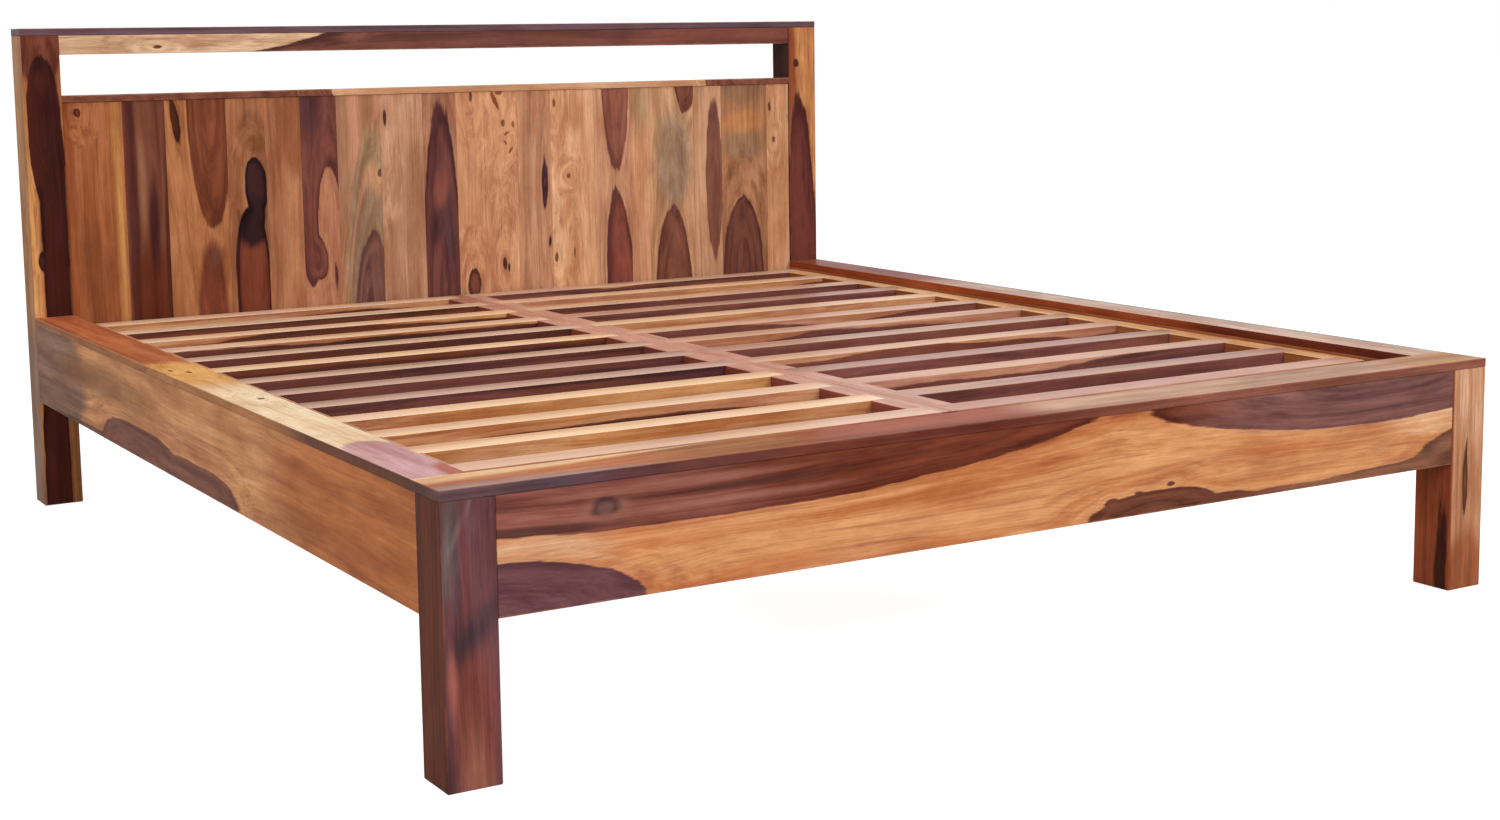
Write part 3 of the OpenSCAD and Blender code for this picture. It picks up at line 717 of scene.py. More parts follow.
def work_in_modifiers(piece):
    """Makes a piece a plain mesh that its modifiers have shaped."""
    graph = bpy.context.evaluated_depsgraph_get()
    finished = bpy.data.meshes.new_from_object(piece.evaluated_get(graph), depsgraph=graph)
    piece.modifiers.clear()
    piece.data = finished
    return finished


def ease_edges(piece):
    bevel = piece.modifiers.new("round_over", "BEVEL")
    bevel.width = EASE_WIDTH
    bevel.segments = 2
    bevel.limit_method = "ANGLE"
    bevel.angle_limit = EDGE_FROM
    weigh = piece.modifiers.new("flat_faces", "WEIGHTED_NORMAL")
    weigh.keep_sharp = True
    return work_in_modifiers(piece)


def stand_in(piece, node):
    """Lets a finished piece take the place of a CAD node."""
    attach(piece, body_of_node[node])
    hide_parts(node)


# %% [markdown]
# Each board is then dressed by one call, which makes its finish and its eased copy. The call names the
# sides that are flush with a neighbour, such as z+ for the top, because those have no pale arris of thin
# lacquer and painted highlight.

# %% Function: dress a board
def dress(node, grain, colours, *areas, face=None, joined="", sides=(), **options):
    """Gives one CAD board its own wood and its eased edges. joined names its flush sides, such as z+ x-.

    sides gives single faces other colours, all over, or only near a middle along the grain, with a half
    length and the softness of its ends.
    """
    low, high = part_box(node)
    low, high = Vector(low), Vector(high)
    if face is None:
        face = low[AXES[grain[2]]]
    faces = []
    for side, codes, *span in sides:
        axis = AXES[side[0]]
        edge, sign = (high[axis], 1.0) if side[1] == "+" else (low[axis], -1.0)
        faces.append((axis, edge, sign, codes, span))
    for side in joined.split():
        corner = high if side[1] == "+" else low
        corner[AXES[side[0]]] += 1.0 if side[1] == "+" else -1.0
    material = board_material(
        "wood_" + node, grain, colours, areas, low=low, high=high, face=face, faces=faces, **options
    )
    piece = bpy.data.objects.new(node + "_eased", clean_copy(node))
    scene.collection.objects.link(piece)
    finished = ease_edges(piece)
    finished.materials.clear()
    finished.materials.append(material)
    stand_in(piece, node)


# %% [markdown]
# The headboard panel is the face of the bed. Its eighteen planks were picked for their contrast, and each
# has its own figure. Heights are along the grain, and the places across it are measured from the middle of
# the bed. The planks are glued side to side and have no pale arris, and each has a seed of its own for its
# fine grain. The first six are the darkest: one is all heartwood, one has a teardrop that hangs from the
# top, one has a nearly black figure of eight, and one has a hook.

# %% Headboard planks, left
FIRST_SEED = 3.85
SEED_STEP = 0.77


def dress_plank(number, colours, *areas, **options):
    """Gives its own wood to plank 1 to 18, counted from the left."""
    seed = FIRST_SEED + SEED_STEP * number
    dress(f"panel_plank_{number:02d}", "zxy", colours, *areas, joined="x- x+ z- z+", seed=seed, **options)


dress_plank(
    1, ("ae6c45", "87492a", "6b3a22", "3b201a"),
    knot(0.840, -0.874, 0.011, 0.008),
    sap_stain("c89052", "ae7642", 0.6, -0.794, 0.5, 0.007),
    sap_stain("96512f", "7a3c22", 0.6, -0.905, 0.5, 0.018),
    sap_stain("9a5a38", "7c4528", 0.48, -0.85, 0.10, 0.03),
)
dress_plank(
    2, ("a06a45", "85502f", "784634", "542a20"),
    heart_stain("5c3028", "361a1a", 0.70, -0.768, 0.40, 0.012, soft=0.006),
    heart_stain("8e6044", "704834", 0.70, -0.745, 0.10, 0.007, soft=0.006),
    heart_stain("64301e", "461c14", 0.44, -0.73, 0.13, 0.040, soft=0.014),
    heart_stain("4a2422", "2c1416", 0.60, -0.722, 0.10, 0.011, soft=0.006),
    heart_stain("50281e", "301511", 0.50, -0.692, 0.28, 0.006, soft=0.004),
    base="heart", rim=0.3,
)
dress_plank(
    3, ("b3764d", "925a36", "84492f", "5c2e20"),
    heart(0.850, -0.590, 0.277, 0.047),
    heart(0.81, -0.664, 0.050, 0.010, lean=-0.16, roundness=1.5),
    stain(("7e432c", "643024", "703824", "4e261a"), 0.36, -0.597, 0.185, 0.034, soft=0.006),
    sap_stain("6e4434", "573228", 0.512, -0.592, 0.024, 0.018, soft=0.014),
    heart_stain("5a2e20", "3a1d17", 0.81, -0.664, 0.06, 0.02),
    rim=0.25,
)
dress_plank(
    4, ("b17551", "8e5839", "773c2a", "35191a"),
    heart(0.645, -0.488, 0.066, 0.027, roundness=2.4),
    heart(0.585, -0.486, 0.05, 0.018),
    heart(0.440, -0.504, 0.160, 0.042, roundness=2.6),
    heart_stain("3c2220", "241415", 0.650, -0.49, 0.08, 0.04),
    heart_stain("301b1b", "1e1013", 0.568, -0.497, 0.056, 0.05, soft=0.012),
    sap_stain("9a6444", "7c4c32", 0.77, -0.49, 0.05, 0.04),
    rim=1.2, core=-0.9,
)
dress_plank(
    5, ("bd825d", "8f593c", "7a4530", "4a271c"),
    sap_stain("9c6040", "7c472e", 0.80, -0.40, 0.12, 0.03),
)
dress_plank(
    6, ("bd8261", "a2694c", "7a463c", "532e29"),
    heart(0.870, -0.342, 0.270, 0.064, roundness=6.0),
    heart(0.600, -0.366, 0.17, 0.023, roundness=4.0),
    sap(0.560, -0.317, 0.135, 0.029),
    heart(0.500, -0.353, 0.052, 0.026, roundness=2.5),
    knot(0.46, -0.308, 0.03, 0.003),
    heart_stain("5c3836", "42262a", 0.83, -0.37, 0.07, 0.03, soft=0.02),
    rim=0.6,
)
print("left planks dressed")

# %% [markdown]
# The planks in the middle are calmer. The first has an arch inside grey-green smoke, which this timber
# often shows, and the third a tall dark spindle. Of the pale ones between and beside them, one has a narrow
# spindle and the others have small knots.

# %% Headboard planks, middle
dress_plank(
    7, ("c38a6b", "9c6f50", "865c50", "5c3a34"),
    sap_stain("aa8a68", "8c6e50", 0.42, -0.232, 0.36, 0.055, soft=0.004, lean=0.05),
    sap_stain("c9966f", "a8785a", 0.41, -0.232, 0.29, 0.046, soft=0.003, lean=0.05),
    sap_stain("a08264", "80644c", 0.40, -0.234, 0.245, 0.042, soft=0.003, lean=0.06),
    heart(0.36, -0.236, 0.19, 0.034, lean=0.10),
    knot(0.675, -0.200, 0.008, 0.005),
    rings=0.5, core=0.2,
)
dress_plank(8, ("c69576", "a67558", "7a4a37", "4a2a22"), knot(0.79, -0.184, 0.020, 0.004), rings=0.1)
dress_plank(
    9, ("b67f5f", "97654a", "74433c", "452627"),
    heart(0.40, -0.049, 0.44, 0.050, roundness=1.5),
    heart_stain("8c5044", "683a34", 0.63, -0.052, 0.045, 0.015),
    heart_stain("5c3838", "3c2424", 0.555, -0.060, 0.05, 0.024, lean=0.4, soft=0.014),
    heart_stain("5c3a3a", "3a2024", 0.53, -0.03, 0.10, 0.012, soft=0.005),
    rings=0.4, rim=0.7,
)
dress_plank(
    10, ("d59c72", "b07354", "7c4a3c", "4b2a26"),
    heart(0.41, 0.026, 0.036, 0.017),
    knot(0.850, 0.030, 0.012, 0.005),
    knot(0.832, 0.092, 0.024, 0.005, lean=-0.4),
    knot(0.850, 0.103, 0.007, 0.009),
    knot(0.775, 0.113, 0.008, 0.005),
    knot(0.772, 0.139, 0.010, 0.004),
    knot(0.751, 0.123, 0.006, 0.004, lean=0.8),
    knot(0.728, 0.118, 0.005, 0.003, lean=-0.8),
    knot(0.712, 0.132, 0.009, 0.004, lean=0.6),
    knot(0.45, 0.108, 0.012, 0.005),
    knot(0.442, 0.118, 0.010, 0.003),
    heart_stain("9a6248", "80492f", 0.79, 0.10, 0.12, 0.08),
)
dress_plank(
    11, ("c9926f", "a57253", "7c5048", "3f2529"),
    heart(0.634, 0.218, 0.062, 0.0088, roundness=1.6),
    knot(0.50, 0.230, 0.012, 0.003),
    rim=0.9,
)
dress_plank(
    12, ("e0ad84", "c28960", "925c40", "744632"),
    knot(0.82, 0.247, 0.010, 0.004),
    knot(0.65, 0.280, 0.006, 0.005),
    knot(0.458, 0.243, 0.012, 0.005),
    knot(0.462, 0.290, 0.012, 0.003),
    sap_stain("c58c66", "a06a48", 0.80, 0.30, 0.05, 0.02),
)
print("middle planks dressed")

# %% [markdown]
# The planks at the right are light sapwood with red-brown figures: arches that stand on the rail, teardrops
# that hang from the top, a spindle between them, and more of the smoke.

# %% Headboard planks, right
dress_plank(
    13, ("d09b79", "b07c5b", "945a47", "6a3e35"),
    heart(0.86, 0.410, 0.213, 0.040, roundness=1.6),
    heart(0.33, 0.424, 0.270, 0.041, lean=-0.07, roundness=1.8),
    heart_stain("844638", "56302a", 0.44, 0.424, 0.17, 0.06, soft=0.02),
    rim=0.4,
)
dress_plank(
    14, ("e0aa86", "bb815f", "8a5840", "56342a"),
    sap_stain("d0966a", "b07850", 0.68, 0.475, 0.12, 0.013),
    sap_stain("b8946e", "9c7654", 0.84, 0.475, 0.07, 0.03, soft=0.02),
)
dress_plank(
    15, ("cf9d75", "a97a57", "84503f", "5c342b"),
    heart(0.88, 0.604, 0.090, 0.030),
    heart(0.33, 0.563, 0.237, 0.053, roundness=1.8),
    sap_stain("ab8a6e", "8d7058", 0.68, 0.570, 0.12, 0.050, soft=0.02),
    rim=0.3,
)
dress_plank(
    16, ("c99774", "ac7d5c", "8e5b48", "683f35"),
    heart(0.625, 0.687, 0.200, 0.026, roundness=1.6),
    rim=0.3,
)
dress_plank(
    17, ("b57e5b", "8a5a3c", "764739", "4e2c28"),
    heart(0.36, 0.767, 0.220, 0.060, roundness=2.6),
    sap_stain("a37c5c", "845f46", 0.710, 0.775, 0.035, 0.06, soft=0.02),
    sap_stain("c48555", "a46a40", 0.765, 0.775, 0.028, 0.06, soft=0.02),
    sap_stain("9a7254", "7c583e", 0.86, 0.775, 0.05, 0.07, soft=0.02),
    rim=0.5,
)
dress_plank(
    18, ("d8a07b", "b67f57", "8a5840", "56342a"),
    knot(0.80, 0.850, 0.012, 0.004),
    knot(0.72, 0.862, 0.008, 0.004),
)
print("right planks dressed")

# %% [markdown]
# The frame of the headboard is two posts, the rail and cap that join them, and the thin strip on the panel.
# The left post shows a long blade of nearly black heartwood with a strip of orange sapwood beside it. The
# right one is orange, with a knot and a wedge that grows downwards. The top rail is pale at the left and
# dark at the right.

# %% Headboard frame
dress(
    "head_post_left", "zxy", ("b8794a", "8c5033", "4a2019", "2e1411"),
    heart(0.80, -0.944, 0.165, 0.035, roundness=2.2),
    heart(0.52, -0.928, 0.32, 0.032, roundness=4.0),
    heart(0.06, -0.953, 0.30, 0.027, roundness=3.0),
    heart(0.520, -0.962, 0.020, 0.011),
    heart(0.165, -0.972, 0.02, 0.008),
    sap_stain("7a4432", "5c2e22", 0.97, -0.945, 0.07, 0.05),
    sap_stain("dca064", "c08048", 0.50, -0.983, 0.28, 0.014),
    sap_stain("8e5a34", "6c4226", 0.10, -0.912, 0.24, 0.022),
    rim=0.3, seed=3.1, joined="z+",
    sides=[
        ("x-", ("b98558", "9c6a44", "84523a", "5e382a")),
        ("x-", ("95735c", "7c5c4a", "6a4c40", "4e3830"), 0.12, 0.26, 0.05),
    ],
)
dress(
    "head_post_right", "zxy", ("cc8c58", "ae6e42", "703a30", "482322"),
    heart(0.29, 0.948, 0.545, 0.046, lean=-0.03),
    knot(0.913, 0.925, 0.010, 0.0075),
    sap_stain("965030", "74381e", 0.90, 0.912, 0.16, 0.014),
    rim=0.6, core=-0.4, rings=0.4, seed=5.2, joined="z+",
    sides=[("x-", ("4a2a20", "3c2018", "301812", "20100e"))],
)
dress(
    "head_cap_board", "xyz", ("9c7468", "86605a", "6c4f55", "46343c"),
    base="heart", seed=6.4, joined="z-",
)
dress(
    "head_top_rail", "xzy", ("e0bb96", "c09673", "7a4a3e", "4c2e2a"),
    sap(-0.80, 0.985, 0.50, 0.055, lean=0.07, roundness=3.0),
    knot(-0.70, 0.968, 0.010, 0.004),
    heart_stain("804b40", "58302a", 0.75, 0.98, 0.30, 0.1),
    base="heart", rings=0.15, seed=7.7, joined="z+ x- x+",
)
dress(
    "panel_cap_strip", "xzy", ("d0a07c", "b8845f", "86503d", "5c3428"),
    heart(-0.78, 0.863, 0.44, 0.2),
    heart(-0.345, 0.863, 0.05, 0.2),
    heart(0.87, 0.863, 0.20, 0.2),
    seed=8.3, joined="x- x+ z-",
)
dress(
    "head_bottom_rail", "xzy", ("c07b46", "9c5d38", "6b3a2a", "3f221d"),
    heart(0.3, 0.25, 0.6, 0.05),
    seed=9.6, joined="x- x+",
)
print("headboard frame dressed")

# %% [markdown]
# The foot end faces the camera. Its wide rail is golden sapwood with a long tongue of red-brown heartwood
# along the top left, a purple one at the top right, and smaller patches at the bottom. A knot with rings
# around it sits in the left tongue, and thin dark lines run beside it.

# %% Foot rail
dress(
    "foot_rail", "xzy", ("d69664", "ba6e40", "91564a", "562c27"),
    heart(-0.60, 0.430, 0.77, 0.108),
    heart(-0.98, 0.215, 0.30, 0.088),
    heart(0.72, 0.402, 0.50, 0.082),
    heart(1.04, 0.222, 0.25, 0.095, roundness=1.0),
    heart(0.80, 0.222, 0.28, 0.022, roundness=1.2),
    heart(0.55, 0.216, 0.30, 0.017),
    heart(0.24, 0.220, 0.15, 0.041),
    heart(0.36, 0.218, 0.11, 0.022),
    knot(0.207, 0.258, 0.012, 0.005),
    knot(0.273, 0.266, 0.009, 0.004),
    heart_stain("71474a", "4e2f33", -0.98, 0.215, 0.33, 0.10),
    heart_stain("8a5b51", "553638", 0.75, 0.40, 0.55, 0.11),
    heart_stain("7a3c28", "4c2218", -0.10, 0.40, 0.46, 0.12, soft=0.03),
    heart_stain("8a5a44", "5a382c", 0.90, 0.215, 0.42, 0.085, soft=0.02),
    sap_stain("e4b488", "cc8c5e", 0.86, 0.318, 0.12, 0.03),
    heart_stain("7a4634", "4c2a20", 0.26, 0.215, 0.24, 0.05, soft=0.01),
    knot(0.150, 0.250, 0.016, 0.008),
    sap_stain("e2b48c", "cc8c60", -0.86, 0.300, 0.12, 0.030, soft=0.012),
    sap_stain("", "b86a42", -0.72, 0.262, 0.16, 0.016),
    heart_stain("6a4238", "442622", -0.86, 0.335, 0.12, 0.008, soft=0.004),
    heart_stain("6a3c32", "42241e", -0.55, 0.362, 0.16, 0.005, soft=0.004),
    heart_stain("8e5a4c", "6c403a", -0.748, 0.356, 0.034, 0.021, soft=0.008),
    heart_stain("5a3a36", "402a28", -0.748, 0.356, 0.022, 0.015, soft=0.005),
    heart_stain("6e4a42", "523632", -0.748, 0.356, 0.012, 0.008, soft=0.003),
    heart_stain("9c6654", "7c483c", -0.64, 0.376, 0.16, 0.005, soft=0.004),
    heart_stain("96604f", "76443a", -0.58, 0.344, 0.20, 0.005, soft=0.004),
    rim=0.15, rings=0.2, streaks=0.9, seed=1.3, joined="x- x+ z+",
)
print("foot rail dressed")

# %% [markdown]
# The cap over the foot rail has a tan top that turns red in the middle, with a mauve patch at its left
# front corner and a cream strip behind it. Its front edge is dark at the left and gets lighter in steps
# towards the right, so that edge is given in sections.

# %% Foot cap
CAP_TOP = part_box("foot_cap_board")[1].z
dress(
    "foot_cap_board", "xyz", ("c48050", "a66036", "6b4446", "3d2a31"),
    sap_stain("a06430", "844e26", -0.46, -1.06, 0.18, 0.3, soft=0.12),
    sap_stain("94421f", "743015", -0.12, -1.06, 0.28, 0.3, soft=0.05),
    sap_stain("bc9070", "9c7254", 0.42, -1.06, 0.40, 0.3, soft=0.05),
    sap_stain("b8854c", "986638", 0.95, -1.06, 0.13, 0.3, soft=0.04),
    sap_stain("a27a6e", "866056", -0.92, -1.105, 0.26, 0.026, soft=0.006, taper=-0.4),
    sap_stain("e6c6a0", "d2a67c", -0.86, -1.012, 0.34, 0.036, soft=0.010, taper=-0.7),
    # Its arris gets a stronger paleness, partly thin lacquer and partly a painted highlight.
    face=CAP_TOP, seed=2.9, joined="z-", wander=0.3, wear=0.6,
    sides=[
        ("y-", ("7e4232", "5f2d24", "5c2c28", "3a1c1e")),
        ("y-", ("9a604c", "784638", "58362c", "382420"), 0.62, 0.50, 0.25),
        ("y-", ("643832", "4a2828", "4a2826", "301a1a"), -0.62, 0.16, 0.12),
        ("y-", ("5a4248", "46343c", "382a36", "261e2a"), -0.84, 0.13, 0.12),
        ("y-", ("6a4c4e", "543c40", "4a343a", "302228"), -0.96, 0.07, 0.04),
        ("x-", ("6a4a40", "563a34", "483030", "302224")),
    ],
)
print("foot cap dressed")

# %% [markdown]
# One foot leg is almost all heartwood, purple-brown with red streaks and a dark smear across its middle,
# and three grey streaks high on its face are a painted sheen. The other is almost all sapwood, with a small
# spindle low on its face and a dark inner side, and it turns browner towards the floor.

# %% Foot legs
dress(
    "foot_leg_left", "zxy", ("a4604f", "8a4e40", "6c4244", "3c262b"),
    # These three grey stains are a painted sheen on the leg, not a colour of the wood.
    heart_stain("645250", "483838", 0.345, -0.966, 0.070, 0.020, soft=0.018, lean=0.15),
    heart_stain("705e5a", "524240", 0.33, -0.974, 0.060, 0.003, soft=0.006, lean=0.12),
    heart_stain("826c68", "5e4c4a", 0.36, -0.955, 0.030, 0.004, soft=0.004, lean=0.4),
    heart_stain("7a4442", "50292a", 0.29, -0.950, 0.10, 0.007, soft=0.006),
    heart_stain("84493f", "542c28", 0.09, -0.945, 0.12, 0.030, soft=0.014),
    heart_stain("50383c", "34242a", 0.215, -0.940, 0.060, 0.026, lean=1.0, soft=0.024),
    heart_stain("9e5c50", "80463c", 0.14, -0.975, 0.045, 0.006, soft=0.005),
    heart_stain("98604e", "784638", 0.0, -0.944, 0.065, 0.020, soft=0.016),
    base="heart", streaks=1.5, rings=0.25, seed=4.4, joined="z+ x+",
    sides=[("x-", ("8c5034", "703c28", "643424", "42221a"))],
)
dress(
    "foot_leg_right", "zxy", ("e0b090", "bc825c", "844a31", "4f2a20"),
    heart(0.195, 0.943, 0.065, 0.0075, roundness=1.6),
    sap_stain("c08660", "a06846", 0.17, 0.950, 0.110, 0.050, soft=0.03),
    sap_stain("a4603e", "844a2c", 0.02, 0.945, 0.085, 0.06, soft=0.02),
    sap_stain("a04c2a", "7a361e", 0.2, 0.905, 0.5, 0.004, soft=0.003, reach=0.5),
    heart(0.03, 0.904, 0.12, 0.0045, reach=0.014, face=-1.094),
    seed=5.8, joined="z+ x-",
    sides=[("x-", ("9a4e2e", "7c3a22", "5c2c1e", "3a1c16"))],
)
print("foot legs dressed")

# %% [markdown]
# The side rails carry calmer wood. The left one is tan, with a cloudy grey-brown end at the headboard and
# brown arches on its lower edge.

# %% Side rails
dress(
    "side_rail_left", "yzx", ("d69866", "b4764c", "845240", "5a362c"),
    heart(0.28, 0.212, 0.28, 0.072, roundness=3.0),
    heart(-0.06, 0.212, 0.23, 0.058, roundness=4.0),
    heart(0.62, 0.222, 0.30, 0.016),
    stain(("96705a", "785442", "66463b", "4a302a"), 1.04, 0.31, 0.40, 0.13, soft=0.012),
    sap_stain("b8703e", "96552e", -0.85, 0.30, 0.40, 0.14, soft=0.04),
    sap_stain("a8744a", "8c5c38", 0.5, 0.33, 0.3, 0.03, soft=0.02),
    rim=0.0, seed=2.2, wander=1.5, joined="z+ y- y+",
)
dress(
    "side_rail_right", "yzx", ("b8835c", "9c6644", "7d4f3c", "513329"),
    heart(-0.6, 0.41, 0.5, 0.09),
    heart(0.5, 0.22, 0.4, 0.06),
    face=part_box("side_rail_right")[1].x, seed=7.2, joined="z+ y- y+",
)
print("side rails dressed")

# %% [markdown]
# The side caps change colour along their length. The left one runs from red-brown at the headboard through
# yellow and cream to a mauve end with a rounded border; its pale top colours are partly the wood and partly
# a painted sheen. The right one is pale on top, dark red at the headboard end, and red-brown on its inner
# edge.

# %% Side caps
# The pale top colours of the left cap are partly a painted sheen.
dress(
    "side_cap_left", "yxz", ("deb690", "cfa078", "8a4f35", "5e3326"),
    sap_stain("b86a42", "964a2e", 0.86, -0.94, 0.47, 0.3, soft=0.03),
    sap_stain("b26a44", "965030", 0.34, -0.94, 0.17, 0.3, soft=0.03),
    sap_stain("dca664", "c28c4e", -0.02, -0.94, 0.24, 0.3, soft=0.05),
    sap_stain("ead2b0", "dec09a", -0.42, -0.94, 0.33, 0.3, soft=0.08),
    sap_stain("c89e9e", "aa7c7e", -1.08, -0.942, 0.37, 0.085, soft=0.003),
    sap_stain("a86050", "8c4a3c", -1.0, -0.91, 0.07, 0.02, soft=0.006),
    knot(0.120, -0.964, 0.012, 0.005),
    knot(0.088, -0.940, 0.010, 0.005),
    knot(-0.257, -0.932, 0.008, 0.005),
    face=CAP_TOP, seed=8.8, joined="z- y- y+",
    sides=[
        ("x-", ("b07a4c", "945e38", "7a4a32", "5a3624")),
        ("x-", ("6a4230", "543224", "44281e", "301c16"), -0.86, 0.34, 0.12),
    ],
)
dress(
    "side_cap_right", "yxz", ("c8a490", "ac8876", "7c3c22", "4a2115"),
    sap_stain("9c8c80", "82746a", -0.2, 0.980, 0.9, 0.014),
    sap_stain("8c4636", "6c3026", 0.92, 0.944, 0.50, 0.3, soft=0.06),
    face=CAP_TOP, rim=0.0, seed=9.9, joined="z- y- y+",
    sides=[
        ("x-", ("9c4e2a", "7c381e", "642a16", "421c10")),
        ("x-", ("6c3222", "542218", "441a12", "2e100c"), -0.75, 0.30, 0.10),
    ],
)
print("side caps dressed")

# %% [markdown]
# The deck lies loose in two halves, and each half has thirteen equal slats. One slat is cleaned and eased,
# and a small Geometry Nodes tree repeats it: a line of points, one slat on each, and the number of the slat
# stored with it. An array modifier could repeat it too, but it couldn't number the slats, and the number is
# needed because no two slats were cut from the same board.

# %% Geometry Nodes: row of slats
row_tree = bpy.data.node_groups.new("Row of slats", "GeometryNodeTree")
row_inputs = {}
for label, kind in (("Slat", "Geometry"), ("Count", "Int"), ("Pitch", "Float"), ("Finish", "Material")):
    socket = row_tree.interface.new_socket(name=label, in_out="INPUT", socket_type="NodeSocket" + kind)
    row_inputs[label] = socket.identifier
row_tree.interface.new_socket(name="Row", in_out="OUTPUT", socket_type="NodeSocketGeometry")
row_in = row_tree.nodes.new("NodeGroupInput").outputs
row_out = row_tree.nodes.new("NodeGroupOutput").inputs
offset = row_tree.nodes.new("ShaderNodeCombineXYZ")
points = row_tree.nodes.new("GeometryNodeMeshLine")
points.mode = "OFFSET"
copies = row_tree.nodes.new("GeometryNodeInstanceOnPoints")
index = row_tree.nodes.new("GeometryNodeInputIndex")
number = row_tree.nodes.new("GeometryNodeStoreNamedAttribute")
number.data_type = "FLOAT"
number.domain = "INSTANCE"
number.inputs["Name"].default_value = "slat_number"
real = row_tree.nodes.new("GeometryNodeRealizeInstances")
paint = row_tree.nodes.new("GeometryNodeSetMaterial")
for socket, value in (
    (offset.inputs["Y"], row_in["Pitch"]),
    (points.inputs["Count"], row_in["Count"]),
    (points.inputs["Offset"], offset.outputs[0]),
    (copies.inputs["Points"], points.outputs[0]),
    (copies.inputs["Instance"], row_in["Slat"]),
    (number.inputs["Geometry"], copies.outputs[0]),
    (number.inputs["Value"], index.outputs[0]),
    (real.inputs[0], number.outputs[0]),
    (paint.inputs["Geometry"], real.outputs[0]),
    (paint.inputs["Material"], row_in["Finish"]),
    (row_out["Row"], paint.outputs[0]),
):
    fill(row_tree, socket, value)
print("row of slats:", len(row_tree.nodes), "nodes")

# %% [markdown]
# The wood of a slat depends on its number. Each slat has a depth of heartwood, from pale sapwood below zero
# to nearly black heartwood above it, and a blush, from golden at 0 to pink at 1. The slats are listed from
# the foot to the head.

# %% Slat wood
SLAT_WIDTH = 0.056
SLAT_THICKNESS = 0.022
deck_low, deck_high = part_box("left_deck_slats")
SLAT_WOOD = {
    "left": [
        (-0.032, 0.6), (-0.028, 0.0), (-0.016, 0.2), (-0.026, 0.0), (0.034, 0.7), (0.036, 0.8), (0.030, 0.6),
        (0.002, 0.0), (0.022, 0.4), (-0.002, 0.3), (-0.012, 0.1), (0.006, 0.2), (-0.020, 0.3),
    ],
    "right": [
        (-0.014, 0.8), (0.018, 0.9), (0.000, 0.7), (0.024, 0.9), (-0.004, 0.6), (0.012, 0.7), (-0.018, 0.7),
        (0.004, 0.6), (-0.026, 0.2), (0.020, 0.8), (-0.006, 0.5), (-0.020, 0.3), (0.002, 0.5),
    ],
}
SLAT_PITCH = (deck_high.y - deck_low.y - SLAT_WIDTH) / (len(SLAT_WOOD["left"]) - 1)
print("slat pitch", round(SLAT_PITCH, 4))

# %% [markdown]
# Both values will be stored on the points of the mesh, where the material reads them. The number of a slat
# also moves its pattern along and gives it a seed, so that no two are alike. The heartwood gets a little
# deeper towards the front edge and the underside of a slat, which is painted shade on the faces that the
# light from above doesn't reach, and a noise along it lets some slats change from dark to pale half-way.

# %% Functions: wood from the number of a slat
SEED_PER_SLAT = 1.37
SHIFT_PER_SLAT = 3.1
FRONT_SHADE_SLOPE = 0.4
UNDERSIDE_SHADE_SLOPE = -0.8
CHANGES_PER_METRE = 1.5
CHANGE_DEPTH = 0.07


def stored_value(tree, name):
    """A number that the mesh carries on its points."""
    node = tree.nodes.new("ShaderNodeAttribute")
    node.attribute_name = name
    return node.outputs["Fac"]


def middle_of_slat(tree):
    """Where the middle of a slat lies between foot and head, from its number."""
    number = stored_value(tree, "slat_number")
    return add_math(tree, "MULTIPLY_ADD", number, SLAT_PITCH, deck_low.y + SLAT_WIDTH / 2)


def slat_depth(tree, steps):
    """Own place along, seed and depth of heartwood for each slat, from the values stored on it."""
    number = stored_value(tree, "slat_number")
    seed = add_math(tree, "MULTIPLY", number, SEED_PER_SLAT)
    along = add_math(tree, "MULTIPLY_ADD", number, SHIFT_PER_SLAT, steps[0])
    to_front = add_math(tree, "SUBTRACT", middle_of_slat(tree), steps[1])
    above_middle = add_math(tree, "SUBTRACT", steps[2], deck_high.z - SLAT_THICKNESS / 2)
    # Painted shade: the heartwood deepens towards the front face and the underside.
    shade_slope = add_math(tree, "MULTIPLY", to_front, FRONT_SHADE_SLOPE)
    shade_slope = add_math(tree, "MULTIPLY_ADD", above_middle, UNDERSIDE_SHADE_SLOPE, shade_slope)
    change_place = join(tree, add_math(tree, "MULTIPLY", along, CHANGES_PER_METRE), seed, 0.0)
    change = centred(tree, add_noise(tree, change_place, detail=2.0))
    change = add_math(tree, "MULTIPLY_ADD", change, CHANGE_DEPTH, shade_slope)
    return along, seed, add_math(tree, "ADD", stored_value(tree, "slat_heart"), change)


# %% [markdown]
# The slats are rubbed rather than lacquered. The blush of a slat and a patchy noise mix golden wood with
# pink wood, and the two halves of the deck have a slightly different pink. The tops get a painted highlight,
# a pale cream or pink that stands in for the light from above and the sheen at a grazing angle, and it is
# strongest along the front edge, a painted highlight on the front arris. It keeps to the top face, so the
# sides of the slats stay dark.

# %% Slat finish
GOLDEN = ("cb905c", "aa6432", "743a22", "3f1f18")
PINK = {
    "left": ("cd9a84", "a8695a", "6c3d38", "382024"),
    "right": ("c68c78", "a46856", "824c44", "583432"),
}
# The pale top colours are a painted highlight of the overhead light and grazing sheen on the slat tops.
TOP_HIGHLIGHT_GOLDEN = "f0d2ac"
TOP_HIGHLIGHT_PINK = {"left": "c8a094", "right": "b08272"}
PATCHES_PER_METRE = (3.0, 11.0, 11.0)
PATCHES_IN_PINK = 1.6
PATCHES_IN_TOP_HIGHLIGHT = 0.8
TOP_HIGHLIGHT_STRENGTH = 0.40
FRONT_EDGE_HIGHLIGHT = 0.36
BACK_TO_FRONT = (0.022, -0.024)
TOP_SKIN = (0.0012, 0.0004)


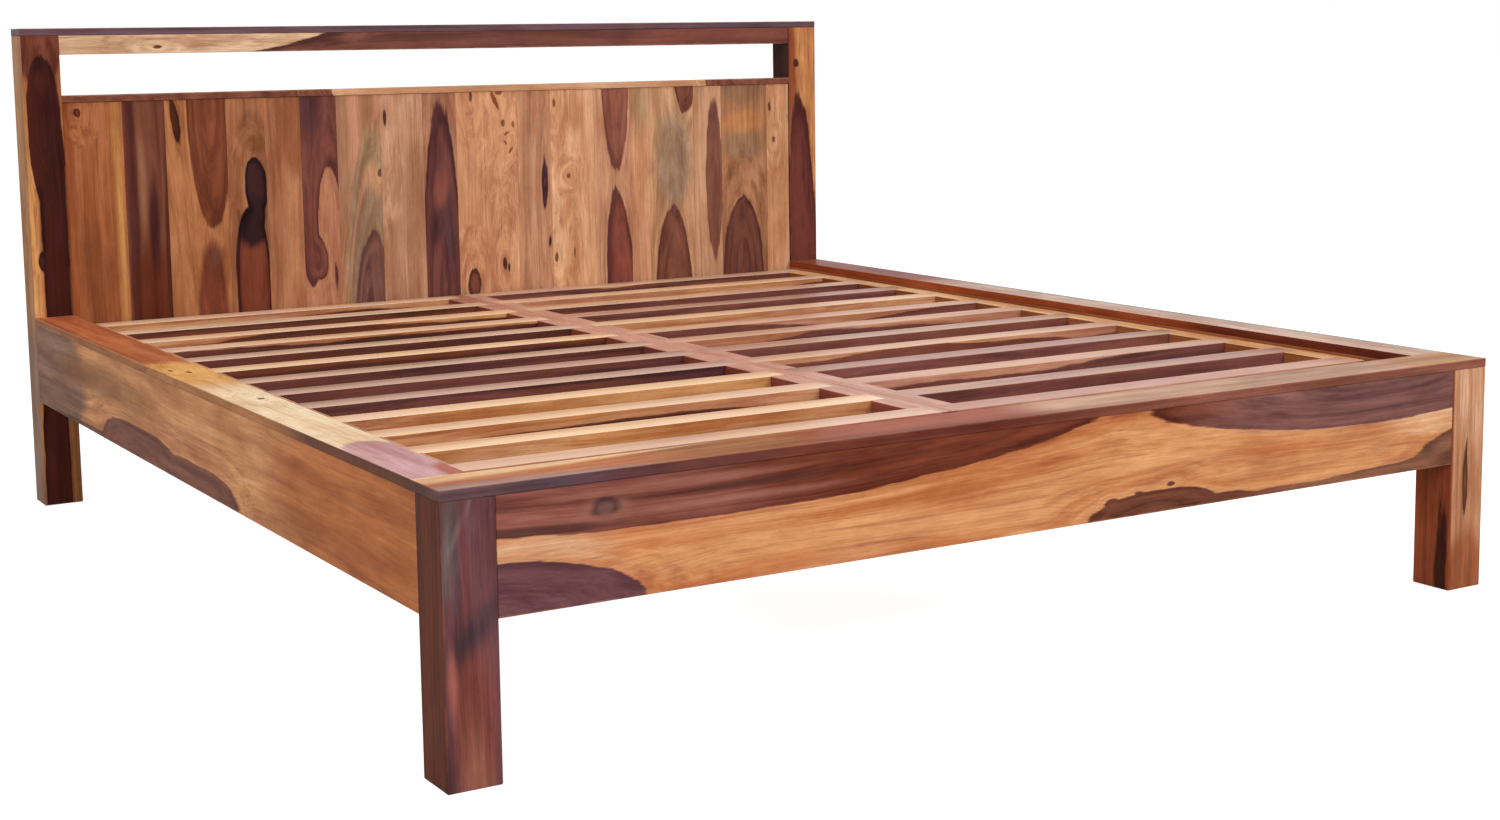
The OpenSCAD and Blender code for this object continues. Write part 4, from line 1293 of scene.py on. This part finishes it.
def slat_material(side):
    """Finish of one half's slats."""
    material = board_material(
        "wood_slats_" + side, "xyz", GOLDEN, own_depth=slat_depth, rings=0.2, rim=0.0, coat=RUBBED
    )
    tree = material.node_tree
    wood = next(node for node in tree.nodes if node.type == "GROUP" and node.node_tree == rosewood)
    position = object_position(tree)
    patch_place = add_vector(tree, "MULTIPLY", position, PATCHES_PER_METRE)
    patches = centred(tree, add_noise(tree, patch_place, detail=3.0))
    blush = stored_value(tree, "slat_blush")
    pinkness = add_math(tree, "MULTIPLY_ADD", patches, PATCHES_IN_PINK, blush, clamp=True)
    for label, gold, pink in zip(COLOUR_NAMES, GOLDEN, PINK[side]):
        fill(tree, wood.inputs[label], add_mix(tree, pinkness, tint(gold), tint(pink)))
    across, height = split(tree, position)[1:]
    from_middle = add_math(tree, "SUBTRACT", across, middle_of_slat(tree))
    # Painted highlight on the top face, strongest along the front edge.
    top_highlight = add_math(tree, "MULTIPLY_ADD", patches, PATCHES_IN_TOP_HIGHLIGHT, TOP_HIGHLIGHT_STRENGTH)
    to_front = add_step(tree, from_middle, *BACK_TO_FRONT)
    top_highlight = add_math(tree, "MULTIPLY_ADD", to_front, FRONT_EDGE_HIGHLIGHT, top_highlight)
    highlight_on_top = add_step(tree, height, *[deck_high.z - below for below in TOP_SKIN])
    highlight_on_top = add_math(tree, "MULTIPLY", highlight_on_top, top_highlight, clamp=True)
    highlight_colour = add_mix(tree, pinkness, tint(TOP_HIGHLIGHT_GOLDEN), tint(TOP_HIGHLIGHT_PINK[side]))
    colour = add_mix(tree, highlight_on_top, wood.outputs["Color"], highlight_colour)
    fill(tree, tree.nodes["Principled BSDF"].inputs["Base Color"], colour)
    return material


slat_finish = {side: slat_material(side) for side in ("left", "right")}
print("slat finishes:", sorted(slat_finish))

# %% [markdown]
# Now the first slat of each half is cut out of the CAD node, eased and repeated. The tree has left the
# number of its slat on each point, so the two values of the list can be written beside it. The result is
# one plain mesh for each half, which rides with that half when it is lifted out.

# %% Slats
CUT_BEHIND_SLAT = 0.001


def lay_slats(side):
    node = f"{side}_deck_slats"
    cut = deck_low.y + SLAT_WIDTH + CUT_BEHIND_SLAT
    one = clean_copy(node, keep=lambda point: point.y < cut)
    piece = bpy.data.objects.new(f"{side}_slat_row", one)
    scene.collection.objects.link(piece)
    ease_edges(piece)
    row = piece.modifiers.new("row_of_slats", "NODES")
    row.node_group = row_tree
    row[row_inputs["Count"]] = len(SLAT_WOOD[side])
    row[row_inputs["Pitch"]] = SLAT_PITCH
    row[row_inputs["Finish"]] = slat_finish[side]
    finished = work_in_modifiers(piece)
    numbers = [item.value for item in finished.attributes["slat_number"].data]
    for label, column in (("slat_heart", 0), ("slat_blush", 1)):
        values = finished.attributes.new(label, "FLOAT", "POINT")
        for index, value in enumerate(numbers):
            values.data[index].value = SLAT_WOOD[side][round(value)][column]
    stand_in(piece, node)
    print(side, "slats:", len(SLAT_WOOD[side]), "faces", len(finished.polygons))


for side in ("left", "right"):
    lay_slats(side)

# %% [markdown]
# The lengthwise bars of the deck are single boards. The inner pair is pinkish on top and dark red at the
# sides, and that dark red is painted shade for the sides, which lie in the shadow between the slats. The
# outer pair is browner and brighter, and its right bar is the palest on top.

# %% Deck bars
OUTER_TOPS = {
    "left": ("c08a68", "a06e50", "8c5a44", "704638"),
    "right": ("e6b98a", "c88e5a", "a87048", "8a5838"),
}
for side, seed in (("left", 4.3), ("right", 15.1)):
    # The dark colours of the inner bars are painted shade for their sides between the slats; their top takes
    # the pink.
    dress(
        f"{side}_deck_inner_bar", "yxz", ("8a4636", "6e3226", "5c2a20", "3c1a16"),
        face=deck_high.z, rim=0.2, seed=seed, coat=RUBBED,
        sides=[("z+", ("c6927e", "a8705c", "9a5e4e", "824c40"))],
    )
    dress(
        f"{side}_deck_outer_bar", "yxz", ("9c5a34", "7c4024", "62301c", "441f16"),
        face=deck_high.z, rim=0.0, seed=seed + 1, coat=RUBBED,
        sides=[("z+", OUTER_TOPS[side])],
    )
print("deck bars dressed")

# %% [markdown]
# Under the deck are the pieces that nobody polishes: battens, cleats, the centre beam and its leg. They are
# the same wood in plainer and darker cuts.

# %% Deck support
UNDER = ("a9653f", "85482c", "66331f", "3f2017")
LEDGES = ("cap_batten_left", "cap_batten_right", "deck_cleat_left", "deck_cleat_right")
for number, node in enumerate(LEDGES):
    dress(node, "yzx", UNDER, heart(0.2 - number * 0.4, 0.35, 0.7, 0.03), seed=20.0 + number)
dress("centre_beam", "yxz", UNDER, heart(0.4, -0.03, 0.6, 0.02), seed=25.0)
dress("centre_leg", "zxy", UNDER, heart(0.1, -0.02, 0.2, 0.015), seed=26.0)
print("support dressed")

# %% [markdown]
# The fittings are zinc-plated steel and turned brass. Plating isn't even: it has a faint mottle from the
# bath and fine scratches from the wrench, which a noise in the roughness and the colour gives. The dowels
# are plain beech.

# %% Fittings
MOTTLES_PER_METRE = 260.0
SCRATCHES_PER_METRE = (900.0, 900.0, 90.0)
SCRATCH_DULLNESS = 0.22


def metal_material(name, light, dull, roughness):
    material, tree, shader = new_material(name)
    position = object_position(tree)
    mottle = add_step(tree, add_noise(tree, position, detail=3.0, scale=MOTTLES_PER_METRE), 0.3, 0.7)
    scratch_place = add_vector(tree, "MULTIPLY", position, SCRATCHES_PER_METRE)
    scratch = add_noise(tree, scratch_place, detail=2.0)
    fill(tree, shader.inputs["Base Color"], add_mix(tree, mottle, tint(light), tint(dull)))
    roughness = add_math(tree, "MULTIPLY_ADD", scratch, SCRATCH_DULLNESS, roughness)
    fill(tree, shader.inputs["Roughness"], roughness)
    shader.inputs["Metallic"].default_value = 1.0
    add_relief(tree, shader, scratch, strength=0.15, distance=0.0002)
    return material


def paint_node(node, material):
    """Puts a finish on a CAD node that keeps its own mesh."""
    mesh = frame["nodes"][node].data
    mesh.materials.clear()
    mesh.materials.append(material)


plated = metal_material("zinc_plate", "c9ccd0", "a5a8ad", 0.28)
brass = metal_material("turned_brass", "d3ad5e", "a9823f", 0.25)
beech = board_material("beech_dowel", "zxy", ("d9b483", "c69b68", "a87a4c", "8a6240"), wander=0.3, rings=0.0)
for node in ("beam_shoes", "rail_bolts", "half_moon_washers", "rail_nuts", "batten_screws", "cleat_screws",
             "shoe_screws", "centre_leg_bolt", "left_deck_screws", "right_deck_screws"):
    paint_node(node, plated)
paint_node("thread_inserts", brass)
paint_node("cap_dowels", beech)
print("fittings painted")

# %% [markdown]
# The bed stands alone on white, as in a catalogue. A pale floor that runs on far behind the bed keeps its
# soft shadow. It glows for the camera only, which makes it white without sending light up to the bed, and
# the sky is white to the camera and to glossy wood in the same way.

# %% Stage
FLOOR_REACH = 60
FLOOR_DROP = 0.0005
FLOOR_GREY = (0.52, 0.52, 0.52, 1.0)
FLOOR_GLOW = 0.74
SKY_LIGHT = 0.55
WHITE = (1.0, 1.0, 1.0, 1.0)
floor_mesh = bpy.data.meshes.new("studio_floor")
corners = [(x * FLOOR_REACH, y * FLOOR_REACH, 0) for x, y in ((-1, -1), (1, -1), (1, 1), (-1, 1))]
floor_mesh.from_pydata(corners, [], [(0, 1, 2, 3)])
floor = bpy.data.objects.new("studio_floor", floor_mesh)
scene.collection.objects.link(floor)
floor.location.z = -FLOOR_DROP
floor_paint, floor_tree, floor_shader = new_material("floor_paint")
floor_shader.inputs["Base Color"].default_value = FLOOR_GREY
floor_shader.inputs["Roughness"].default_value = 0.9
floor_shader.inputs["Specular IOR Level"].default_value = 0.1
floor_shader.inputs["Emission Color"].default_value = WHITE
seen = floor_tree.nodes.new("ShaderNodeLightPath").outputs["Is Camera Ray"]
glow = add_math(floor_tree, "MULTIPLY", seen, FLOOR_GLOW)
fill(floor_tree, floor_shader.inputs["Emission Strength"], glow)
floor_mesh.materials.append(floor_paint)

world = bpy.data.worlds.new("white_studio")
scene.world = world
world.use_nodes = True
world_tree = world.node_tree
background = world_tree.nodes["Background"]
background.inputs["Color"].default_value = WHITE
path = world_tree.nodes.new("ShaderNodeLightPath").outputs
white = add_math(world_tree, "MAXIMUM", path["Is Camera Ray"], path["Is Glossy Ray"])
white = add_math(world_tree, "MAXIMUM", white, path["Is Transmission Ray"])
sky = add_math(world_tree, "MULTIPLY_ADD", white, 1.0 - SKY_LIGHT, SKY_LIGHT)
fill(world_tree, background.inputs["Strength"], sky)
print("stage ready, floor reaches", FLOOR_REACH, "metres")

# %% [markdown]
# Three lamps light the bed, all large and soft. The key lamp is high at the right of the foot end, where
# the light of the photograph came from. A weaker one at the left fills the shadows, and the weakest hangs
# above the deck, so the tops of the boards aren't dull.

# %% Lamps
def soft_lamp(name, place, target, size, power):
    data = bpy.data.lights.new(name, "AREA")
    data.shape = "RECTANGLE"
    data.size, data.size_y = size
    data.energy = power
    lamp = bpy.data.objects.new(name, data)
    scene.collection.objects.link(lamp)
    lamp.location = place
    lamp.rotation_euler = (Vector(target) - Vector(place)).to_track_quat("-Z", "Y").to_euler()
    print(name, power, "watts")


soft_lamp("key_lamp", (3.2, -8.5, 5.2), (0.0, 0.0, 0.5), (4.0, 3.0), 410)
soft_lamp("fill_lamp", (-6.5, -4.5, 3.7), (0.0, 0.0, 0.4), (3.5, 3.0), 270)
soft_lamp("top_lamp", (0.0, -0.3, 5.0), (0.0, 0.0, 0.0), (4.0, 4.0), 95)
scene.view_settings.view_transform = "Standard"
